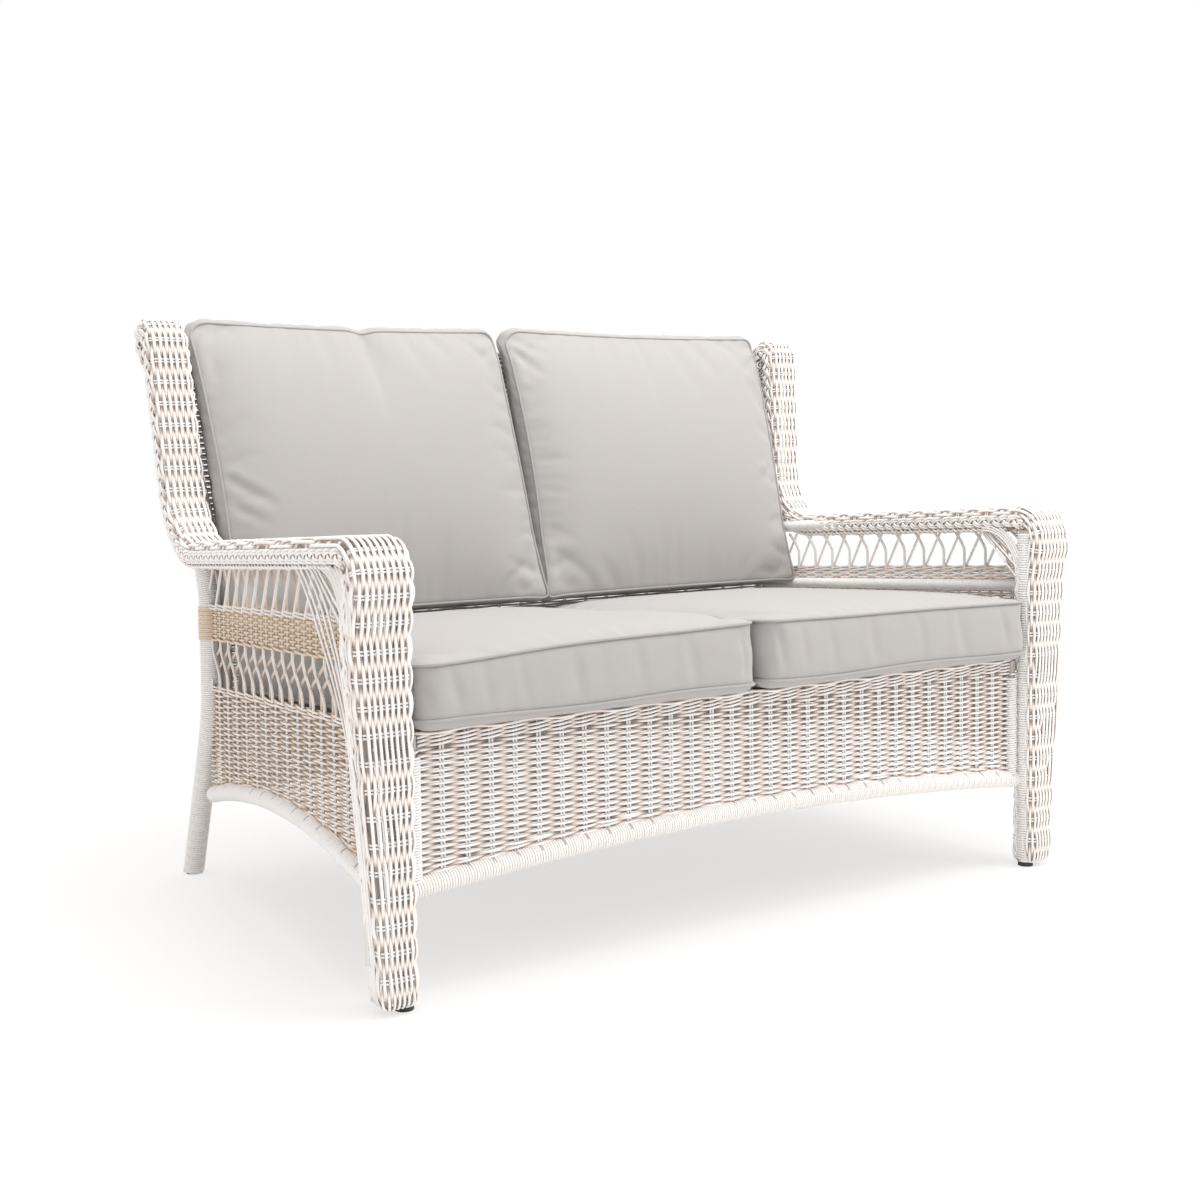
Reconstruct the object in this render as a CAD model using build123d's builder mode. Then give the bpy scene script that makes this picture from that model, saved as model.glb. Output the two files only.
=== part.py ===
from build123d import *
from math import atan2, cos, degrees, hypot, radians, sin, tan
import os

# Wicker wing-back loveseat, in millimetres. X runs along its width, the front faces -Y, Z is up.
# The origin is on the floor, in the middle of the overall width and depth.

# Overall sizes
overall_depth = 905.0
overall_height = 980.0
arm_span = 1370.0
arm_width = 93.0
seat_rake = 3.3

# Woven band that makes the front leg, the arm top and the wing
band_depth = 44.0
band_skin = 12.0
band_wall = 8.0
band_round = 13.0
arm_top_height = 638.0
nose_radius = 60.0
nose_overhang = 11.0
nose_face_length = 13.0
nose_neck_length = 60.0
nose_gusset_radius = 70.0
leg_foot_width = 58.0
arm_rear_inset = 26.0
arm_rear_width = 74.0
arm_joint_inset = 155.0
wing_inset = 150.0
wing_crook = 100.0
wing_lean = 6.0
wing_inner_spread = 49.0
wing_outer_spread = 122.0
wing_base_drop = 18.0
scroll_radius = 45.0
scroll_eye = 9.0
scroll_slit = 3.0

# Side unit: wrapped posts, rails and woven panels
glide_height = 8.0
glide_radius = 13.0
glide_recess = 3.0
front_post_radius = 15.0
stile_radius = 8.0
rear_post_radius = 17.0
rear_post_inset = 139.5
rear_post_spread = 27.0
rear_post_top_spread = 80.0
rear_foot_spread = 39.0
rear_foot_inset = 53.0
rear_knee_height = 300.0
rear_hip_height = 520.0
rear_post_drop = 50.0
rear_bend_radius = 260.0
side_spread = 58.0
side_rail_radius = 13.0
side_rail_front_height = 181.0
side_rail_middle_height = 208.0
side_rail_rear_height = 156.0
arm_rail_radius = 11.0
stretcher_radius = 9.0
panel_thickness = 9.0
stake_rib_width = 11.0
stake_rib_rise = 2.0
back_rib_pitch = 99.0
skirt_rib_pitch = 76.8
lattice_thickness = 6.0
cane_width = 6.0
upper_lattice_pitch = 50.0
lower_lattice_pitch = 46.0
rod_radius = 4.0

# Seat unit
skirt_setback = 48.5
skirt_thickness = 9.0
skirt_top_height = 362.0
skirt_post_radius = 8.0
skirt_rail_radius = 14.0
skirt_rail_end_height = 154.0
skirt_rail_middle_height = 186.0
seat_rail_radius = 12.5
brace_radius = 9.0
brace_spread = 290.0
deck_thickness = 7.0
deck_side_gap = 5.0
bracket_drop = 105.0
bolt_shank_radius = 4.0
bolt_head_radius = 7.0
bolt_head_height = 5.0
insert_radius = 6.0
insert_length = 16.0
bolt_rise = 50.0
bolt_drop = 59.5

# Back unit
upright_radius = 10.0
back_roll_radius = 32.0
back_tube_radius = 11.0
back_rail_radius = 13.0
back_rail_end_height = 160.0
back_rail_middle_height = 190.0
hip_bolt_drop = 50.0
head_bolt_drop = 130.0

# Cushions
fit_gap = 0.4
cushion_gap = 6.0
seat_cushion_overhang = 40.0
seat_cushion_gap = 20.2
seat_cushion_height = 108.0
seat_crown = 17.0
seat_corner = 34.0
side_draw = 5.0
cover_inset = 9.0
back_cushion_spread = 7.0
back_cushion_lift = 12.2
back_cushion_nestle = 1.6
back_cushion_drop = 9.5
back_cushion_foot = 118.0
back_cushion_head = 70.0
back_head_setback = 63.0
back_belly = 24.0
back_edge_inset = 18.0
back_clearance = 0.8
overrun = 30.0

# Shares of a length: rods over the arm's height, cane runs over a pitch, cushion and pillow sections
upper_rod_share = 0.82132
middle_rod_share = 0.73354
lower_rod_share = 0.60658
upper_runs_share = (-0.85, 0.55)
lower_runs_share = (0.70, -0.70)
seat_crown_shares = ((0.0, 0.2), (0.5, 1.0), (1.0, 0.2))
back_crown_share = 0.5
pillow_shares = ((0.0, 1.0, 0.3), (0.08, 0.35, 0.8), (0.5, 0.0, 1.0), (0.92, 0.35, 0.8), (1.0, 1.0, 0.3))

# Lines that several pieces share
front_y = -overall_depth / 2
rear_y = overall_depth / 2
leg_y = front_y + nose_overhang
stile_y = leg_y + band_depth - stile_radius
front_post_y = leg_y + band_skin + front_post_radius
seat_opening = arm_span - 2 * arm_width
half_opening = seat_opening / 2
front_post_x = half_opening + front_post_radius
rear_post_y = rear_y - rear_post_inset
rear_foot_y = rear_y - rear_foot_inset
rear_post_half_span = half_opening + rear_post_spread
rear_post_top_half_span = half_opening + rear_post_top_spread
rear_foot_half_span = half_opening + rear_foot_spread
side_half_span = half_opening + side_spread
wing_top_inner = half_opening + wing_inner_spread
wing_top_outer = half_opening + wing_outer_spread
wing_y = rear_y - wing_inset
arm_joint_y = wing_y - arm_joint_inset
wing_base_height = arm_top_height - wing_base_drop
upper_rod_height = arm_top_height * upper_rod_share
middle_rod_height = arm_top_height * middle_rod_share
lower_rod_height = arm_top_height * lower_rod_share
rake_slope = tan(radians(seat_rake))
wing_slope = tan(radians(wing_lean))
skirt_y = front_y + skirt_setback

# The back leans so that the roll at its top ends at the rear of the overall depth.
rear_post_top = overall_height - rear_post_drop
back_roll_z = rear_post_top - back_roll_radius + upright_radius
back_roll_y = rear_y - back_roll_radius
lean_slope = (back_roll_y - rear_post_y) / (back_roll_z - rear_hip_height)

# The side unit toes in a little, so its pieces are drawn on its own slanted plane.
side_run = rear_post_y - stile_y
side_toe = side_half_span - rear_post_half_span
side_length = hypot(side_run, side_toe)
along = Vector(side_toe / side_length, side_run / side_length, 0)
side_plane = Plane(
    origin=(-side_half_span, stile_y, 0),
    x_dir=along,
    z_dir=along.cross(Vector(0, 0, 1)),
)

os.makedirs("parts", exist_ok=True)


def save(solid, label):
    solid.label = label
    export_step(solid, f"parts/{label}.step")


def main_solid(piece):
    return piece.part.solids().sort_by(SortBy.VOLUME)[-1]


def save_pair(left_solid, name):
    save(left_solid, f"left_{name}")
    with BuildPart() as right_piece:
        mirror(left_solid, about=Plane.YZ)
    save(right_piece.part, f"right_{name}")


def raked(height, run):
    return height - run * rake_slope


def post_y(height):
    return rear_post_y + max(0.0, height - rear_hip_height) * lean_slope


def post_x(height):
    rise = (height - rear_hip_height) / (rear_post_top - rear_hip_height)
    return rear_post_half_span + max(0.0, rise) * (rear_post_top_half_span - rear_post_half_span)


# The long edges where the front or top of a band meets its two sides
def band_edges(part):
    top_faces = part.faces().filter_by(lambda f: abs(f.normal_at().X) < 0.5)
    front_faces = top_faces.filter_by(
        lambda f: f.normal_at().Z > 0.2 or f.normal_at().Y < -0.5
    )
    side_faces = part.faces().filter_by(lambda f: abs(f.normal_at().X) > 0.9)
    front_faces = front_faces.filter_by(lambda f: f.area > band_depth * band_depth)
    shared = ShapeList()
    for edge in side_faces.edges():
        if any(edge.is_same(other) for other in front_faces.edges()):
            shared.append(edge)
    return shared


# Rear post: one bowed, wrapped tube from the foot to the top of the wing
with BuildPart() as rear_post:
    with BuildLine() as rear_path:
        FilletPolyline(
            (-rear_foot_half_span, rear_foot_y, glide_height - glide_recess),
            (-rear_post_half_span, rear_post_y, rear_knee_height),
            (-rear_post_half_span, rear_post_y, rear_hip_height),
            (-rear_post_top_half_span, post_y(rear_post_top), rear_post_top),
            radius=rear_bend_radius,
        )
    with BuildSketch(Plane(origin=rear_path.line @ 0, z_dir=rear_path.line % 0)):
        Circle(rear_post_radius)
    sweep()
    with BuildSketch(Plane.XY.offset(-overrun)):
        Rectangle(2 * arm_span, 2 * overall_depth)
    extrude(amount=overrun + glide_height, mode=Mode.SUBTRACT)

# Front post: straight wrapped tube inside the leg, open to view on the seat side
with BuildPart() as front_post:
    with BuildSketch(Plane.XY.offset(glide_height)):
        with Locations((-front_post_x, front_post_y)):
            Circle(front_post_radius)
    extrude(amount=arm_top_height - band_skin - glide_height - nose_radius / 2)

# Front stile: thin rod that the side weave is hung on, inside the leg
with BuildPart() as front_stile:
    with BuildSketch(Plane.XY.offset(glide_height + leg_foot_width)):
        with Locations((-side_half_span, stile_y)):
            Circle(stile_radius)
    extrude(amount=arm_top_height - band_depth - glide_height - leg_foot_width)


def side_point(run, height, inset=0.0):
    return side_plane.from_local_coords((run, height, inset))


# Run along the side at which a raked line of this front height is inside the rear post
def post_reach(height):
    return side_length + post_y(raked(height, side_length)) - rear_post_y + rear_post_radius


# Arm rail: tube under the weave of the arm, coped against the rear post
with BuildPart() as arm_rail:
    rail_height = arm_top_height - band_skin - arm_rail_radius
    rail_reach = post_reach(rail_height)
    with BuildLine() as arm_rail_path:
        Line(side_point(0, rail_height), side_point(rail_reach, raked(rail_height, rail_reach)))
    with BuildSketch(Plane(origin=arm_rail_path.line @ 0, z_dir=arm_rail_path.line % 0)):
        Circle(arm_rail_radius)
    sweep()
    add(rear_post.part, mode=Mode.SUBTRACT)
    add(front_stile.part, mode=Mode.SUBTRACT)

# Stretcher: tube behind the narrow woven band, at the height of the seat
with BuildPart() as stretcher:
    stretcher_height = (middle_rod_height + upper_rod_height) / 2
    stretcher_inset = panel_thickness / 2 + stretcher_radius
    with BuildLine() as stretcher_path:
        Line(
            side_point(0, stretcher_height, stretcher_inset),
            side_point(side_length, raked(stretcher_height, side_length), stretcher_inset),
        )
    with BuildSketch(Plane(origin=stretcher_path.line @ 0, z_dir=stretcher_path.line % 0)):
        Circle(stretcher_radius)
    sweep()
    add(rear_post.part, mode=Mode.SUBTRACT)
    add(front_stile.part, mode=Mode.SUBTRACT)

# Arched bottom rail of the side
with BuildPart() as side_rail:
    with BuildLine() as side_rail_path:
        ThreePointArc(
            side_point(0, side_rail_front_height),
            side_point(side_length / 2, side_rail_middle_height),
            side_point(side_length, side_rail_rear_height),
        )
    with BuildSketch(Plane(origin=side_rail_path.line @ 0, z_dir=side_rail_path.line % 0)):
        Circle(side_rail_radius)
    sweep()
    add(rear_post.part, mode=Mode.SUBTRACT)
    add(front_stile.part, mode=Mode.SUBTRACT)


def raked_outline(low, high):
    reach = post_reach(low)
    return [(0, low), (reach, raked(low, reach)), (reach, raked(high, reach)), (0, high)]


# Lower side panel: close weave from the arched rail up to the first openwork
with BuildPart() as lower_panel:
    with BuildSketch(side_plane.offset(-panel_thickness / 2)):
        with BuildLine():
            Polyline(
                (0, side_rail_front_height),
                (0, lower_rod_height),
                (side_length, raked(lower_rod_height, side_length)),
                (side_length, side_rail_rear_height),
            )
            ThreePointArc(
                (0, side_rail_front_height),
                (side_length / 2, side_rail_middle_height),
                (side_length, side_rail_rear_height),
            )
        make_face()
    extrude(amount=panel_thickness)
    for neighbour in (rear_post, front_stile, side_rail):
        add(neighbour.part, mode=Mode.SUBTRACT)

# Narrow close-woven band at the height of the seat, tied to the stretcher behind it
with BuildPart() as middle_band:
    with BuildSketch(side_plane.offset(-panel_thickness / 2)):
        with BuildLine():
            Polyline(*raked_outline(middle_rod_height, upper_rod_height), close=True)
        make_face()
    extrude(amount=panel_thickness)
    for neighbour in (rear_post, front_stile, stretcher):
        add(neighbour.part, mode=Mode.SUBTRACT)


def cane_outlines(low, high, pitch, runs_share):
    outlines = []
    for index in range(-1, int(side_length / pitch) + 3):
        for run_share in runs_share:
            foot = index * pitch
            head = foot + run_share * pitch
            outlines.append(
                [
                    (foot - cane_width / 2, raked(low, foot)),
                    (foot + cane_width / 2, raked(low, foot)),
                    (head + cane_width / 2, raked(high, head)),
                    (head - cane_width / 2, raked(high, head)),
                ]
            )
    return outlines


# Openwork under the arm: stakes spread from the band and cross on their way up
arm_line_height = arm_top_height - band_skin - 2 * arm_rail_radius
with BuildPart() as upper_lattice:
    with BuildSketch(side_plane.offset(-lattice_thickness / 2)):
        for corners in cane_outlines(
            upper_rod_height, arm_line_height + arm_rail_radius, upper_lattice_pitch, upper_runs_share
        ):
            with BuildLine():
                Polyline(*corners, close=True)
            make_face()
        with BuildLine():
            Polyline(*raked_outline(upper_rod_height, upper_rod_height + 2 * rod_radius), close=True)
        make_face()
        with BuildLine():
            Polyline(
                *raked_outline(arm_line_height - rod_radius, arm_line_height + arm_rail_radius), close=True
            )
        make_face()
        with BuildLine():
            Polyline(*raked_outline(upper_rod_height, arm_line_height + arm_rail_radius), close=True)
        make_face(mode=Mode.INTERSECT)
    extrude(amount=lattice_thickness)
    for neighbour in (rear_post, front_stile, arm_rail):
        add(neighbour.part, mode=Mode.SUBTRACT)

# Openwork between the lower panel and the band
with BuildPart() as lower_lattice:
    with BuildSketch(side_plane.offset(-lattice_thickness / 2)):
        for corners in cane_outlines(
            lower_rod_height, middle_rod_height, lower_lattice_pitch, lower_runs_share
        ):
            with BuildLine():
                Polyline(*corners, close=True)
            make_face()
        with BuildLine():
            Polyline(*raked_outline(lower_rod_height, lower_rod_height + rod_radius), close=True)
        make_face()
        with BuildLine():
            Polyline(*raked_outline(middle_rod_height - rod_radius, middle_rod_height), close=True)
        make_face()
        with BuildLine():
            Polyline(*raked_outline(lower_rod_height, middle_rod_height), close=True)
        make_face(mode=Mode.INTERSECT)
    extrude(amount=lattice_thickness)
    for neighbour in (rear_post, front_stile):
        add(neighbour.part, mode=Mode.SUBTRACT)


# Profile of the woven band, drawn in the plane of its side and shared by leg, arm and wing
nose_y = front_y + nose_radius
nose_z = arm_top_height - nose_radius
nose_neck_height = nose_z - nose_face_length - nose_neck_length


def arm_top_z(y):
    return arm_top_height - (y - nose_y) * rake_slope


def wing_face_y(z):
    return wing_y + (z - wing_base_height) * wing_slope - wing_face_shift


wing_face_shift = (overall_height - wing_base_height) / 2 * wing_slope
scroll_z = overall_height - scroll_radius
half_width = 2 * arm_span


def band_trapezoid(low, high, inner_low, outer_low, inner_high, outer_high):
    return [(-inner_low, low), (-outer_low, low), (-outer_high, high), (-inner_high, high)]


# Front leg: upright channel of close weave, open at the back
leg_inner = seat_opening / 2
leg_outer_top = arm_span / 2
leg_outer_foot = leg_inner + leg_foot_width
with BuildPart() as leg_band:
    with BuildSketch(Plane.XZ.offset(-leg_y)):
        with BuildLine():
            Polyline(
                *band_trapezoid(
                    glide_height, nose_neck_height, leg_inner, leg_outer_foot, leg_inner, leg_outer_top
                ),
                close=True,
            )
        make_face()
    extrude(amount=-band_depth)
    fillet(band_edges(leg_band.part), radius=band_round)
    with BuildSketch(Plane.XZ.offset(-leg_y - band_skin)):
        with BuildLine():
            Polyline(
                *band_trapezoid(
                    glide_height - overrun,
                    nose_neck_height + overrun,
                    leg_inner - overrun,
                    leg_outer_foot - band_wall,
                    leg_inner - overrun,
                    leg_outer_top - band_wall,
                ),
                close=True,
            )
        make_face()
    extrude(amount=-band_depth, mode=Mode.SUBTRACT)
print("leg band", len(leg_band.part.solids()))

# Arm: the band turns over the rounded nose and runs back along the arm
arm_joint_z = arm_top_z(arm_joint_y)
arm_joint_inner = leg_inner + arm_rear_inset
arm_joint_outer = arm_joint_inner + arm_rear_width
with BuildPart() as arm_band:
    with BuildSketch(Plane.YZ.offset(-half_width)):
        with BuildLine():
            Line((leg_y, nose_neck_height), (front_y, nose_neck_height + nose_neck_length))
            Line((front_y, nose_neck_height + nose_neck_length), (front_y, nose_z))
            RadiusArc((front_y, nose_z), (nose_y, arm_top_height), nose_radius)
            Polyline(
                (nose_y, arm_top_height),
                (arm_joint_y, arm_joint_z),
                (arm_joint_y, arm_joint_z - band_depth),
            )
            FilletPolyline(
                (arm_joint_y, arm_joint_z - band_depth),
                (leg_y + band_depth, arm_top_z(leg_y + band_depth) - band_depth),
                (leg_y + band_depth, nose_neck_height),
                radius=nose_gusset_radius,
            )
            Line((leg_y + band_depth, nose_neck_height), (leg_y, nose_neck_height))
        make_face()
    extrude(amount=half_width)
    with BuildSketch(Plane.XY):
        with BuildLine():
            Polyline(
                *band_trapezoid(
                    front_y, arm_joint_y, leg_inner, leg_outer_top, arm_joint_inner, arm_joint_outer
                ),
                close=True,
            )
        make_face()
    extrude(amount=overall_height, mode=Mode.INTERSECT)
    fillet(band_edges(arm_band.part), radius=band_round)
    with BuildSketch(Plane.YZ.offset(-half_width), mode=Mode.PRIVATE) as arm_hollow:
        with BuildLine():
            Line((leg_y + band_skin, nose_neck_height - overrun), (front_y + band_skin, nose_z))
            RadiusArc(
                (front_y + band_skin, nose_z),
                (nose_y, arm_top_height - band_skin),
                nose_radius - band_skin,
            )
            Polyline(
                (nose_y, arm_top_height - band_skin),
                (arm_joint_y + overrun, arm_top_z(arm_joint_y + overrun) - band_skin),
                (arm_joint_y + overrun, nose_neck_height - overrun),
                (leg_y + band_skin, nose_neck_height - overrun),
            )
        make_face()
    with BuildSketch(Plane.XY, mode=Mode.PRIVATE) as arm_hollow_plan:
        with BuildLine():
            Polyline(
                *band_trapezoid(
                    front_y,
                    arm_joint_y + overrun,
                    leg_inner + band_wall,
                    leg_outer_top - band_wall,
                    arm_joint_inner + band_wall,
                    arm_joint_outer - band_wall,
                ),
                close=True,
            )
        make_face()
    arm_core = extrude(arm_hollow.sketch, amount=half_width, mode=Mode.PRIVATE)
    arm_core = arm_core.intersect(extrude(arm_hollow_plan.sketch, amount=overall_height, mode=Mode.PRIVATE))
    add(arm_core, mode=Mode.SUBTRACT)
print("arm band", len(arm_band.part.solids()))

# Wing: the band turns up from the arm, leans back a little and rolls over in a scroll
crook_y = wing_face_y(arm_joint_z)
flare_inner = (wing_top_inner - arm_joint_inner) / (overall_height - arm_joint_z)
flare_outer = (wing_top_outer - arm_joint_outer) / (overall_height - arm_joint_z)
wing_low = arm_joint_z - 2 * band_depth
wing_high = overall_height + overrun


def wing_inner(z):
    return arm_joint_inner + (z - arm_joint_z) * flare_inner


def wing_outer(z):
    return arm_joint_outer + (z - arm_joint_z) * flare_outer


scroll_y = wing_face_y(scroll_z) + scroll_radius / cos(radians(wing_lean))
roll_start = (
    scroll_y - scroll_radius * cos(radians(wing_lean)),
    scroll_z + scroll_radius * sin(radians(wing_lean)),
)
roll_tip = (scroll_y + scroll_slit, scroll_z - (scroll_radius**2 - scroll_slit**2) ** 0.5)
wing_back_top = (wing_face_y(scroll_z - scroll_radius) + band_depth, scroll_z - scroll_radius)
with BuildPart() as wing_band:
    with BuildSketch(Plane.YZ.offset(-half_width)):
        with BuildLine():
            FilletPolyline(
                (arm_joint_y, arm_joint_z),
                (crook_y, arm_top_z(crook_y)),
                roll_start,
                radius=wing_crook,
            )
            RadiusArc(roll_start, (scroll_y + scroll_radius, scroll_z), scroll_radius)
            RadiusArc((scroll_y + scroll_radius, scroll_z), roll_tip, scroll_radius)
            Polyline(
                roll_tip,
                (roll_tip[0], scroll_z),
                (scroll_y, scroll_z),
                (scroll_y, wing_back_top[1]),
                wing_back_top,
            )
            FilletPolyline(
                wing_back_top,
                (crook_y + band_depth, arm_top_z(crook_y) - band_depth),
                (arm_joint_y, arm_joint_z - band_depth),
                radius=wing_crook + band_depth,
            )
            Line((arm_joint_y, arm_joint_z - band_depth), (arm_joint_y, arm_joint_z))
        make_face()
    extrude(amount=half_width)
    with BuildSketch(Plane.XZ.offset(half_width)):
        with BuildLine():
            Polyline(
                *band_trapezoid(
                    wing_low,
                    wing_high,
                    wing_inner(wing_low),
                    wing_outer(wing_low),
                    wing_inner(wing_high),
                    wing_outer(wing_high),
                ),
                close=True,
            )
        make_face()
    extrude(amount=-2 * half_width, mode=Mode.INTERSECT)
    fillet(band_edges(wing_band.part), radius=band_round)
    with BuildSketch(Plane.YZ.offset(-half_width)):
        with Locations((scroll_y, scroll_z)):
            Circle(scroll_eye)
    extrude(amount=half_width, mode=Mode.SUBTRACT)
    with BuildSketch(Plane.YZ.offset(-half_width), mode=Mode.PRIVATE) as wing_hollow:
        with BuildLine():
            FilletPolyline(
                (arm_joint_y - overrun, arm_top_z(arm_joint_y - overrun) - band_skin),
                (crook_y + band_skin, arm_top_z(crook_y) - band_skin),
                (wing_face_y(scroll_z - scroll_radius) + band_skin, scroll_z - scroll_radius),
                radius=wing_crook + band_skin,
            )
            Polyline(
                (wing_face_y(scroll_z - scroll_radius) + band_skin, scroll_z - scroll_radius),
                (rear_y, scroll_z - scroll_radius),
                (rear_y, arm_joint_z - 2 * band_depth),
                (arm_joint_y - overrun, arm_joint_z - 2 * band_depth),
                (arm_joint_y - overrun, arm_top_z(arm_joint_y - overrun) - band_skin),
            )
        make_face()
    with BuildSketch(Plane.XZ.offset(half_width), mode=Mode.PRIVATE) as wing_hollow_front:
        with BuildLine():
            Polyline(
                *band_trapezoid(
                    wing_low,
                    wing_high,
                    wing_inner(wing_low) + band_wall,
                    wing_outer(wing_low) - band_wall,
                    wing_inner(wing_high) + band_wall,
                    wing_outer(wing_high) - band_wall,
                ),
                close=True,
            )
        make_face()
    wing_core = extrude(wing_hollow.sketch, amount=half_width, mode=Mode.PRIVATE)
    wing_core = wing_core.intersect(
        extrude(wing_hollow_front.sketch, amount=-2 * half_width, mode=Mode.PRIVATE)
    )
    add(wing_core, mode=Mode.SUBTRACT)
    add(rear_post.part, mode=Mode.SUBTRACT)
print("wing band", len(wing_band.part.solids()), wing_band.part.bounding_box())


# Wing web: woven wall that closes the gap between the wing band and the rear post
web_low = arm_joint_z + band_depth
web_high = scroll_z - scroll_radius
web_flare = Vector(post_x(web_low) - post_x(web_high), 0, web_high - web_low).normalized()
web_plane = Plane(
    origin=(-post_x(web_low), 0, web_low),
    x_dir=(0, 1, 0),
    z_dir=Vector(0, 1, 0).cross(web_flare),
)
web_height = (web_high - web_low) / web_flare.Z
with BuildPart() as wing_web:
    with BuildSketch(web_plane.offset(-lattice_thickness / 2)):
        with BuildLine():
            Polyline(
                (wing_face_y(web_low) + band_skin, 0),
                (post_y(web_low), 0),
                (post_y(web_high), web_height),
                (wing_face_y(web_high) + band_skin, web_height),
                close=True,
            )
        make_face()
    extrude(amount=lattice_thickness)
    add(rear_post.part, mode=Mode.SUBTRACT)
    add(wing_band.part, mode=Mode.SUBTRACT)
print("wing web", len(wing_web.part.solids()))

# Arched bottom rail of the back, coped between the rear posts
with BuildPart() as back_rail:
    with BuildLine() as back_rail_path:
        ThreePointArc(
            (-rear_post_half_span, rear_post_y, back_rail_end_height),
            (0, rear_post_y, back_rail_middle_height),
            (rear_post_half_span, rear_post_y, back_rail_end_height),
        )
    with BuildSketch(Plane(origin=back_rail_path.line @ 0, z_dir=back_rail_path.line % 0)):
        Circle(back_rail_radius)
    sweep()
    add(rear_post.part, mode=Mode.SUBTRACT)
    mirror(rear_post.part, about=Plane.YZ, mode=Mode.SUBTRACT)

# Back uprights: inner tubes that run beside the rear posts and carry the back's weave
upright_offset = rear_post_radius + upright_radius
with BuildPart() as back_upright:
    with BuildLine() as upright_path:
        FilletPolyline(
            (-rear_post_half_span + upright_offset, rear_post_y, back_rail_end_height),
            (-rear_post_half_span + upright_offset, rear_post_y, rear_hip_height),
            (-post_x(back_roll_z) + upright_offset, post_y(back_roll_z), back_roll_z),
            radius=rear_bend_radius,
        )
    with BuildSketch(Plane(origin=upright_path.line @ 0, z_dir=upright_path.line % 0)):
        Circle(upright_radius)
    sweep()
    add(back_rail.part, mode=Mode.SUBTRACT)

# Top tube of the back, and the weave rolled over it
roll_half = post_x(back_roll_z) - upright_offset
upright_x_low = rear_post_half_span - upright_offset
with BuildPart() as back_tube:
    with BuildSketch(Plane.YZ.offset(-roll_half)):
        with Locations((back_roll_y, back_roll_z)):
            Circle(back_tube_radius)
    extrude(amount=2 * roll_half)
    add(back_upright.part, mode=Mode.SUBTRACT)
    mirror(back_upright.part, about=Plane.YZ, mode=Mode.SUBTRACT)
with BuildPart() as back_roll:
    with BuildSketch(Plane.YZ.offset(-roll_half)):
        with Locations((back_roll_y, back_roll_z)):
            Circle(back_roll_radius)
            Circle(back_tube_radius, mode=Mode.SUBTRACT)
    extrude(amount=2 * roll_half)
    for neighbour in (back_upright, wing_band):
        add(neighbour.part, mode=Mode.SUBTRACT)
        mirror(neighbour.part, about=Plane.YZ, mode=Mode.SUBTRACT)


# Section of the back between two faces, each given by how far it lies behind the middle
def back_section(x, front_offset, rear_offset):
    with BuildSketch(Plane.YZ.offset(x)) as section:
        with BuildLine():
            for offset in (front_offset, rear_offset):
                FilletPolyline(
                    (rear_post_y + offset, back_rail_end_height),
                    (rear_post_y + offset, rear_hip_height),
                    (post_y(back_roll_z) + offset, back_roll_z),
                    radius=rear_bend_radius - offset,
                )
            for y, z in ((rear_post_y, back_rail_end_height), (post_y(back_roll_z), back_roll_z)):
                Line((y + front_offset, z), (y + rear_offset, z))
        make_face()
    return section.sketch


# Close-woven back: upright below the seat and leaning above it, ribbed where its stakes run
back_rib_count = int((upright_x_low - stake_rib_width) / back_rib_pitch)
with BuildPart() as back_panel:
    half_skin = panel_thickness / 2
    extrude(back_section(-half_width, -half_skin, half_skin), amount=2 * half_width)
    for index in range(-back_rib_count, back_rib_count + 1):
        rib_x = index * back_rib_pitch - stake_rib_width / 2
        rib_section = back_section(rib_x, half_skin - stake_rib_rise, half_skin + stake_rib_rise)
        extrude(rib_section, amount=stake_rib_width)
    with BuildSketch(Plane.XZ.offset(half_width)):
        with BuildLine():
            ThreePointArc(
                (-rear_post_half_span + upright_offset, back_rail_end_height),
                (0, back_rail_middle_height),
                (rear_post_half_span - upright_offset, back_rail_end_height),
            )
            Polyline(
                (rear_post_half_span - upright_offset, back_rail_end_height),
                (rear_post_half_span - upright_offset, rear_hip_height),
                (roll_half, back_roll_z),
                (-roll_half, back_roll_z),
                (-rear_post_half_span + upright_offset, rear_hip_height),
                (-rear_post_half_span + upright_offset, back_rail_end_height),
            )
        make_face()
    extrude(amount=-2 * half_width, mode=Mode.INTERSECT)
    for neighbour in (back_rail, back_roll, back_tube, back_upright):
        add(neighbour.part, mode=Mode.SUBTRACT)
    mirror(back_upright.part, about=Plane.YZ, mode=Mode.SUBTRACT)
print("back panel", len(back_panel.part.solids()))

# Places that the skirt and the seat frame share
skirt_middle_y = skirt_y + skirt_thickness / 2
skirt_post_x = seat_opening / 2 - skirt_post_radius
skirt_rail_reach = front_post_x - front_post_radius / 2

# Seat frame: front and rear rails, two side rails and three braces under the deck
front_rail_y = skirt_y + skirt_thickness + seat_rail_radius
front_rail_z = skirt_top_height - seat_rail_radius
rear_rail_y = rear_post_y - upright_radius - seat_rail_radius
rear_rail_z = raked(front_rail_z, rear_rail_y - front_rail_y)
seat_side_x = skirt_post_x - skirt_post_radius - seat_rail_radius
with BuildPart() as seat_front_rail:
    with BuildSketch(Plane.YZ.offset(-front_post_x - front_post_radius)):
        with Locations((front_rail_y, front_rail_z)):
            Circle(seat_rail_radius)
    extrude(amount=2 * (front_post_x + front_post_radius))
with BuildPart() as seat_rear_rail:
    with BuildSketch(Plane.YZ.offset(-rear_post_half_span + rear_post_radius)):
        with Locations((rear_rail_y, rear_rail_z)):
            Circle(seat_rail_radius)
    extrude(amount=2 * (rear_post_half_span - rear_post_radius))


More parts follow.
